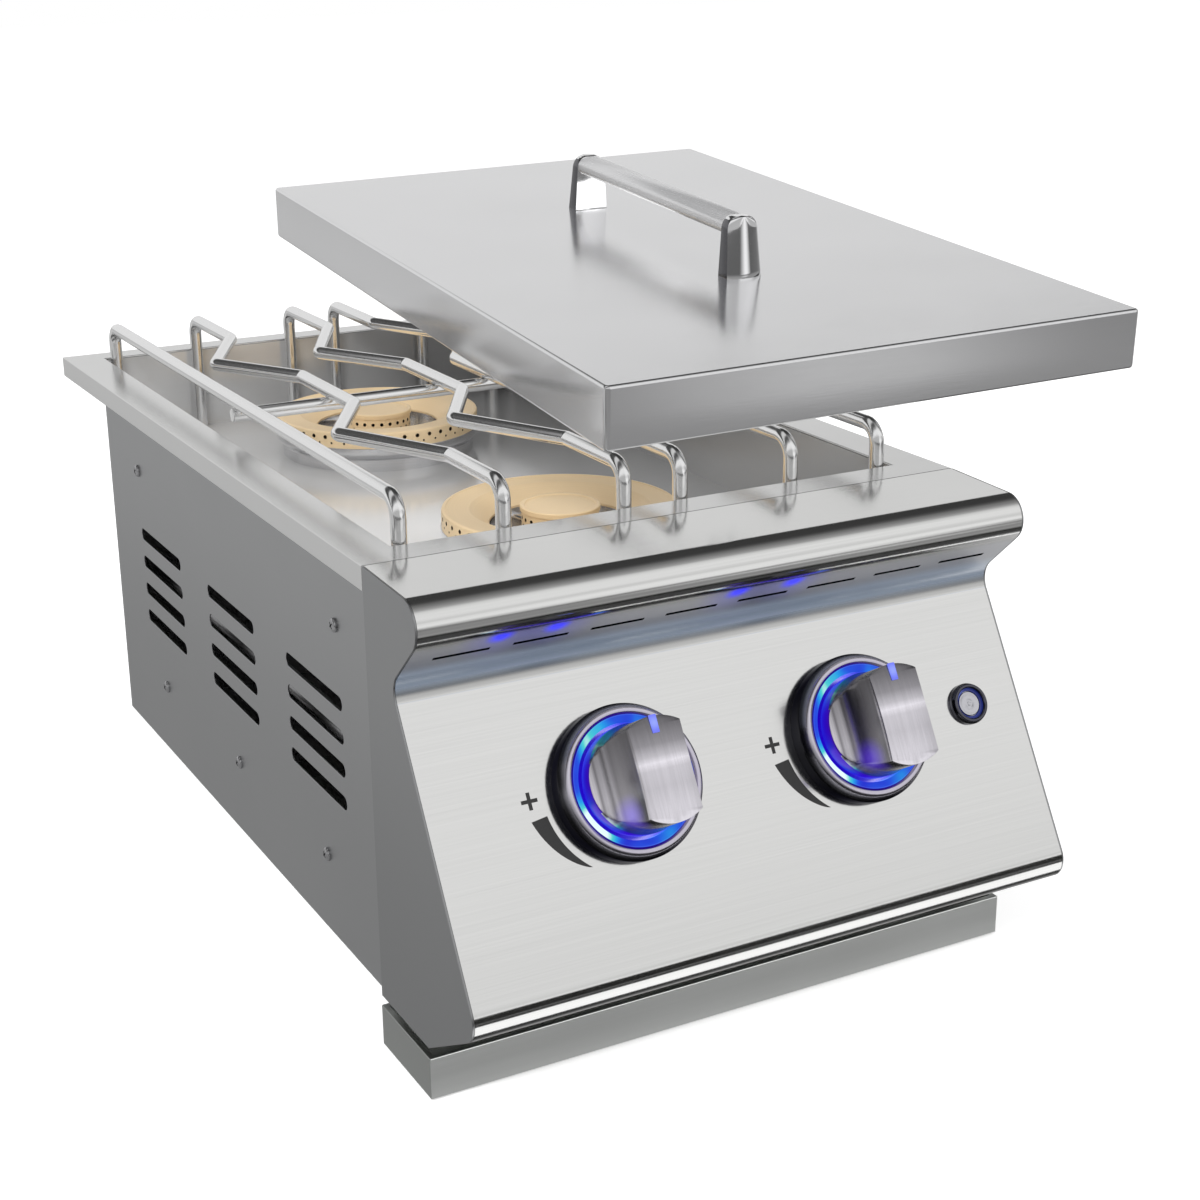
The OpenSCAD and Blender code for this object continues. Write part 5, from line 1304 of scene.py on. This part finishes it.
class BURNER_OT_stage(bpy.types.Operator):
    """Sets the floor, the light and the camera at the photograph's angle"""
    bl_idname = "burner.stage"
    bl_label = "Stage"

    def execute(self, context):
        scene = context.scene
        self.camera(scene)
        self.floor()
        self.dark_card()
        self.world(scene)
        self.lights()
        scene.view_settings.view_transform = "Standard"
        return {"FINISHED"}

    def camera(self, scene):
        """A camera 28.5 degrees left of straight on and 18.9 degrees up, for a square picture."""
        data = bpy.data.cameras.new("camera")
        data.sensor_width, data.lens, data.clip_end = 36, CAMERA_LENS, 50
        camera = bpy.data.objects.new("camera", data)
        scene.collection.objects.link(camera)
        azimuth, elevation, roll = (math.radians(a) for a in CAMERA_TURNS)
        camera.matrix_world = (Matrix.Translation(CAMERA_PLACE) @ Matrix.Rotation(-azimuth, 4, "Z")
                               @ Matrix.Rotation(math.pi / 2 - elevation, 4, "X") @ Matrix.Rotation(roll, 4, "Z"))
        scene.camera = camera

    def floor(self):
        """A wide pale floor that is white to the camera and keeps the shadow; metal sees it in soft zones.

        The zones are the brightness of the studio's floor, by distance in front of the object and to its sides."""
        r = FLOOR_REACH
        floor = new_piece("floor", [(-r, -r, 0), (r, -r, 0), (r, r, 0), (-r, r, 0)], [(0, 1, 2, 3)], outward=False)
        floor.data.transform(Matrix.Translation((0, 0, FLOOR_DOWN)))
        material, shading, shader = new_material("Pale floor")
        nodes = material.node_tree.nodes
        nodes.remove(shader)
        path = shading.node("LightPath").outputs
        seen = shading.math("MAXIMUM", path["Is Camera Ray"], path["Is Transmission Ray"])
        strength = shading.math("MULTIPLY", seen, FLOOR_GLOW)
        glow = shading.node("Emission", {"Color": WHITE, "Strength": strength}).outputs[0]
        matt = shading.node("BsdfDiffuse", {"Color": PALE}).outputs[0]
        pale = shading.node("AddShader", {0: matt, 1: glow}).outputs[0]
        parts = shading.parts(shading.where())
        x, y = parts["X"], parts["Y"]
        beside = shading.blend("MULTIPLY", shading.levels(shading.math("ABSOLUTE", x), FLOOR_BESIDE),
                               shading.levels(y, BESIDE_FROM))
        slant = shading.math("DIVIDE", x, shading.math("MULTIPLY", y, -1.0))
        beam = shading.blend("MULTIPLY", shading.levels(slant, BEAM_ACROSS), shading.levels(y, BEAM_ALONG))
        most = shading.blend("LIGHTEN", shading.blend("LIGHTEN", shading.levels(y, FLOOR_AHEAD), beside), beam)
        mirrored = shading.node("Emission", {"Color": most}).outputs[0]
        mix = shading.node("MixShader", {0: path["Is Glossy Ray"], 1: pale, 2: mirrored}).outputs[0]
        shading.feed(nodes["Material Output"], {"Surface": mix})
        floor.data.materials.append(material)

    def world(self, scene):
        """The studio: white to the camera, evenly soft on matt surfaces, and in metal a bright front, a dark ceiling
        and a bright low back, by the angle from the front horizon over the top."""
        world = bpy.data.worlds.new("Studio")
        world.use_nodes = True
        shading = Shading(world.node_tree)
        split = shading.parts(shading.node("TexCoord").outputs["Generated"])
        over = shading.math("ARCTAN2", split["Z"], shading.math("MULTIPLY", split["Y"], -1.0))
        arch, sides = (shading.levels(over, [(math.radians(a), level) for a, level in steps])
                       for steps in (STUDIO_ARCH, STUDIO_SIDES))
        reflected = shading.blend("MIX", arch, sides, shading.levels(split["X"], SIDES_FROM))
        path = shading.node("LightPath").outputs
        mirror = shading.math("MAXIMUM", path["Is Glossy Ray"], path["Is Transmission Ray"])
        unseen = shading.blend("MIX", (SOFT_LIGHT, SOFT_LIGHT, SOFT_LIGHT, 1), reflected, mirror)
        colour = shading.blend("MIX", unseen, WHITE, path["Is Camera Ray"])
        shading.feed(world.node_tree.nodes["Background"], {"Color": colour})
        scene.world = world

    def dark_card(self):
        """A dark card that only metal sees, for the dark line along the chin."""
        left, right = CHIN_X - 2 * CHIN_WIDE, CHIN_X + 2 * CHIN_WIDE
        corners = [(left, CARD_LOW), (right, CARD_LOW), (right, CARD_HIGH), (left, CARD_HIGH)]
        card = new_piece("dark_card", [(x, CARD_Y, z) for x, z in corners], [(0, 1, 2, 3)], outward=False)
        material, shading, shader = new_material("Dark card")
        shading.feed(shader, {"Base Color": CARD_COLOUR, "Roughness": 1.0})
        card.data.materials.append(material)
        card.visible_camera = card.visible_diffuse = card.visible_shadow = card.visible_transmission = False

    def area_lamp(self, name, matrix, power, wide, high=None):
        """A flat lamp, square unless its height is given."""
        data = bpy.data.lights.new(name, "AREA")
        data.size, data.energy = wide, power
        if high:
            data.shape, data.size_y = "RECTANGLE", high
        lamp = bpy.data.objects.new(name, data)
        bpy.context.scene.collection.objects.link(lamp)
        lamp.matrix_world = matrix
        return lamp

    def lights(self):
        """Two small area lights that only metal sees: a strip before the chin that faces the object, and a glint
        between the posts that faces up from the lid. Soft boxes light the matt surfaces: over the left shoulder, low
        from the right and above."""
        strip = Matrix.Translation((CHIN_X, STRIP_Y, STRIP_HIGH / 2)) @ Matrix.Rotation(math.radians(90), 4, "X")
        lid = settings().lid
        turn, _ = lid_matrix(lid)
        middle = on_lid([np.mean(GLINT_X), np.mean(GLINT_Y), lid.height + GLINT_RISE], lid)[0]
        axes = Matrix(np.column_stack([turn[:, 0], -turn[:, 1], -turn[:, 2]]).tolist()).to_4x4()
        for lamp in (self.area_lamp("chin strip", strip, STRIP_WATTS, CHIN_WIDE, STRIP_HIGH),
                     self.area_lamp("post glint", Matrix.Translation(Vector(middle)) @ axes, GLINT_WATTS,
                                    GLINT_X[1] - GLINT_X[0], GLINT_Y[1] - GLINT_Y[0])):
            lamp.visible_camera = lamp.visible_diffuse = lamp.visible_transmission = False
        for name, place, size, power in SOFT_BOXES:
            aim = (Vector(SOFT_BOX_AIM) - Vector(place)).to_track_quat("-Z", "Y").to_matrix().to_4x4()
            self.area_lamp(name, Matrix.Translation(place) @ aim, power, size).visible_glossy = False


# ---------------------------------------------------------------- add-on

OPERATORS = (BURNER_OT_stage, BURNER_OT_sheets, BURNER_OT_panel, BURNER_OT_burners, BURNER_OT_grate,
             BURNER_OT_controls, BURNER_OT_lid)


class BURNER_PT_sidebar(bpy.types.Panel):
    """Lists the burner's pieces and settings"""
    bl_label = "Double side burner"
    bl_idname = "BURNER_PT_sidebar"
    bl_space_type = "VIEW_3D"
    bl_region_type = "UI"
    bl_category = "Burner"

    def draw(self, context):
        for operator in OPERATORS:
            self.layout.operator(operator.bl_idname)
        for name, group in GROUPS.items():
            box = self.layout.box()
            box.label(text=name.capitalize())
            for key in group.__annotations__:
                box.prop(getattr(settings(), name), key)


CLASSES = (*GROUPS.values(), BurnerSettings, *OPERATORS, BURNER_PT_sidebar)


def register():
    """Registers the add-on's classes and its settings."""
    for item in CLASSES:
        bpy.utils.register_class(item)
    setattr(bpy.types.Scene, SETTINGS, bpy.props.PointerProperty(type=BurnerSettings))


def unregister():
    """Removes what register added."""
    delattr(bpy.types.Scene, SETTINGS)
    for item in reversed(CLASSES):
        bpy.utils.unregister_class(item)


def main():
    register()
    for operator in OPERATORS:
        group, name = operator.bl_idname.split(".")
        getattr(getattr(bpy.ops, group), name)()


if __name__ == "__main__":
    main()
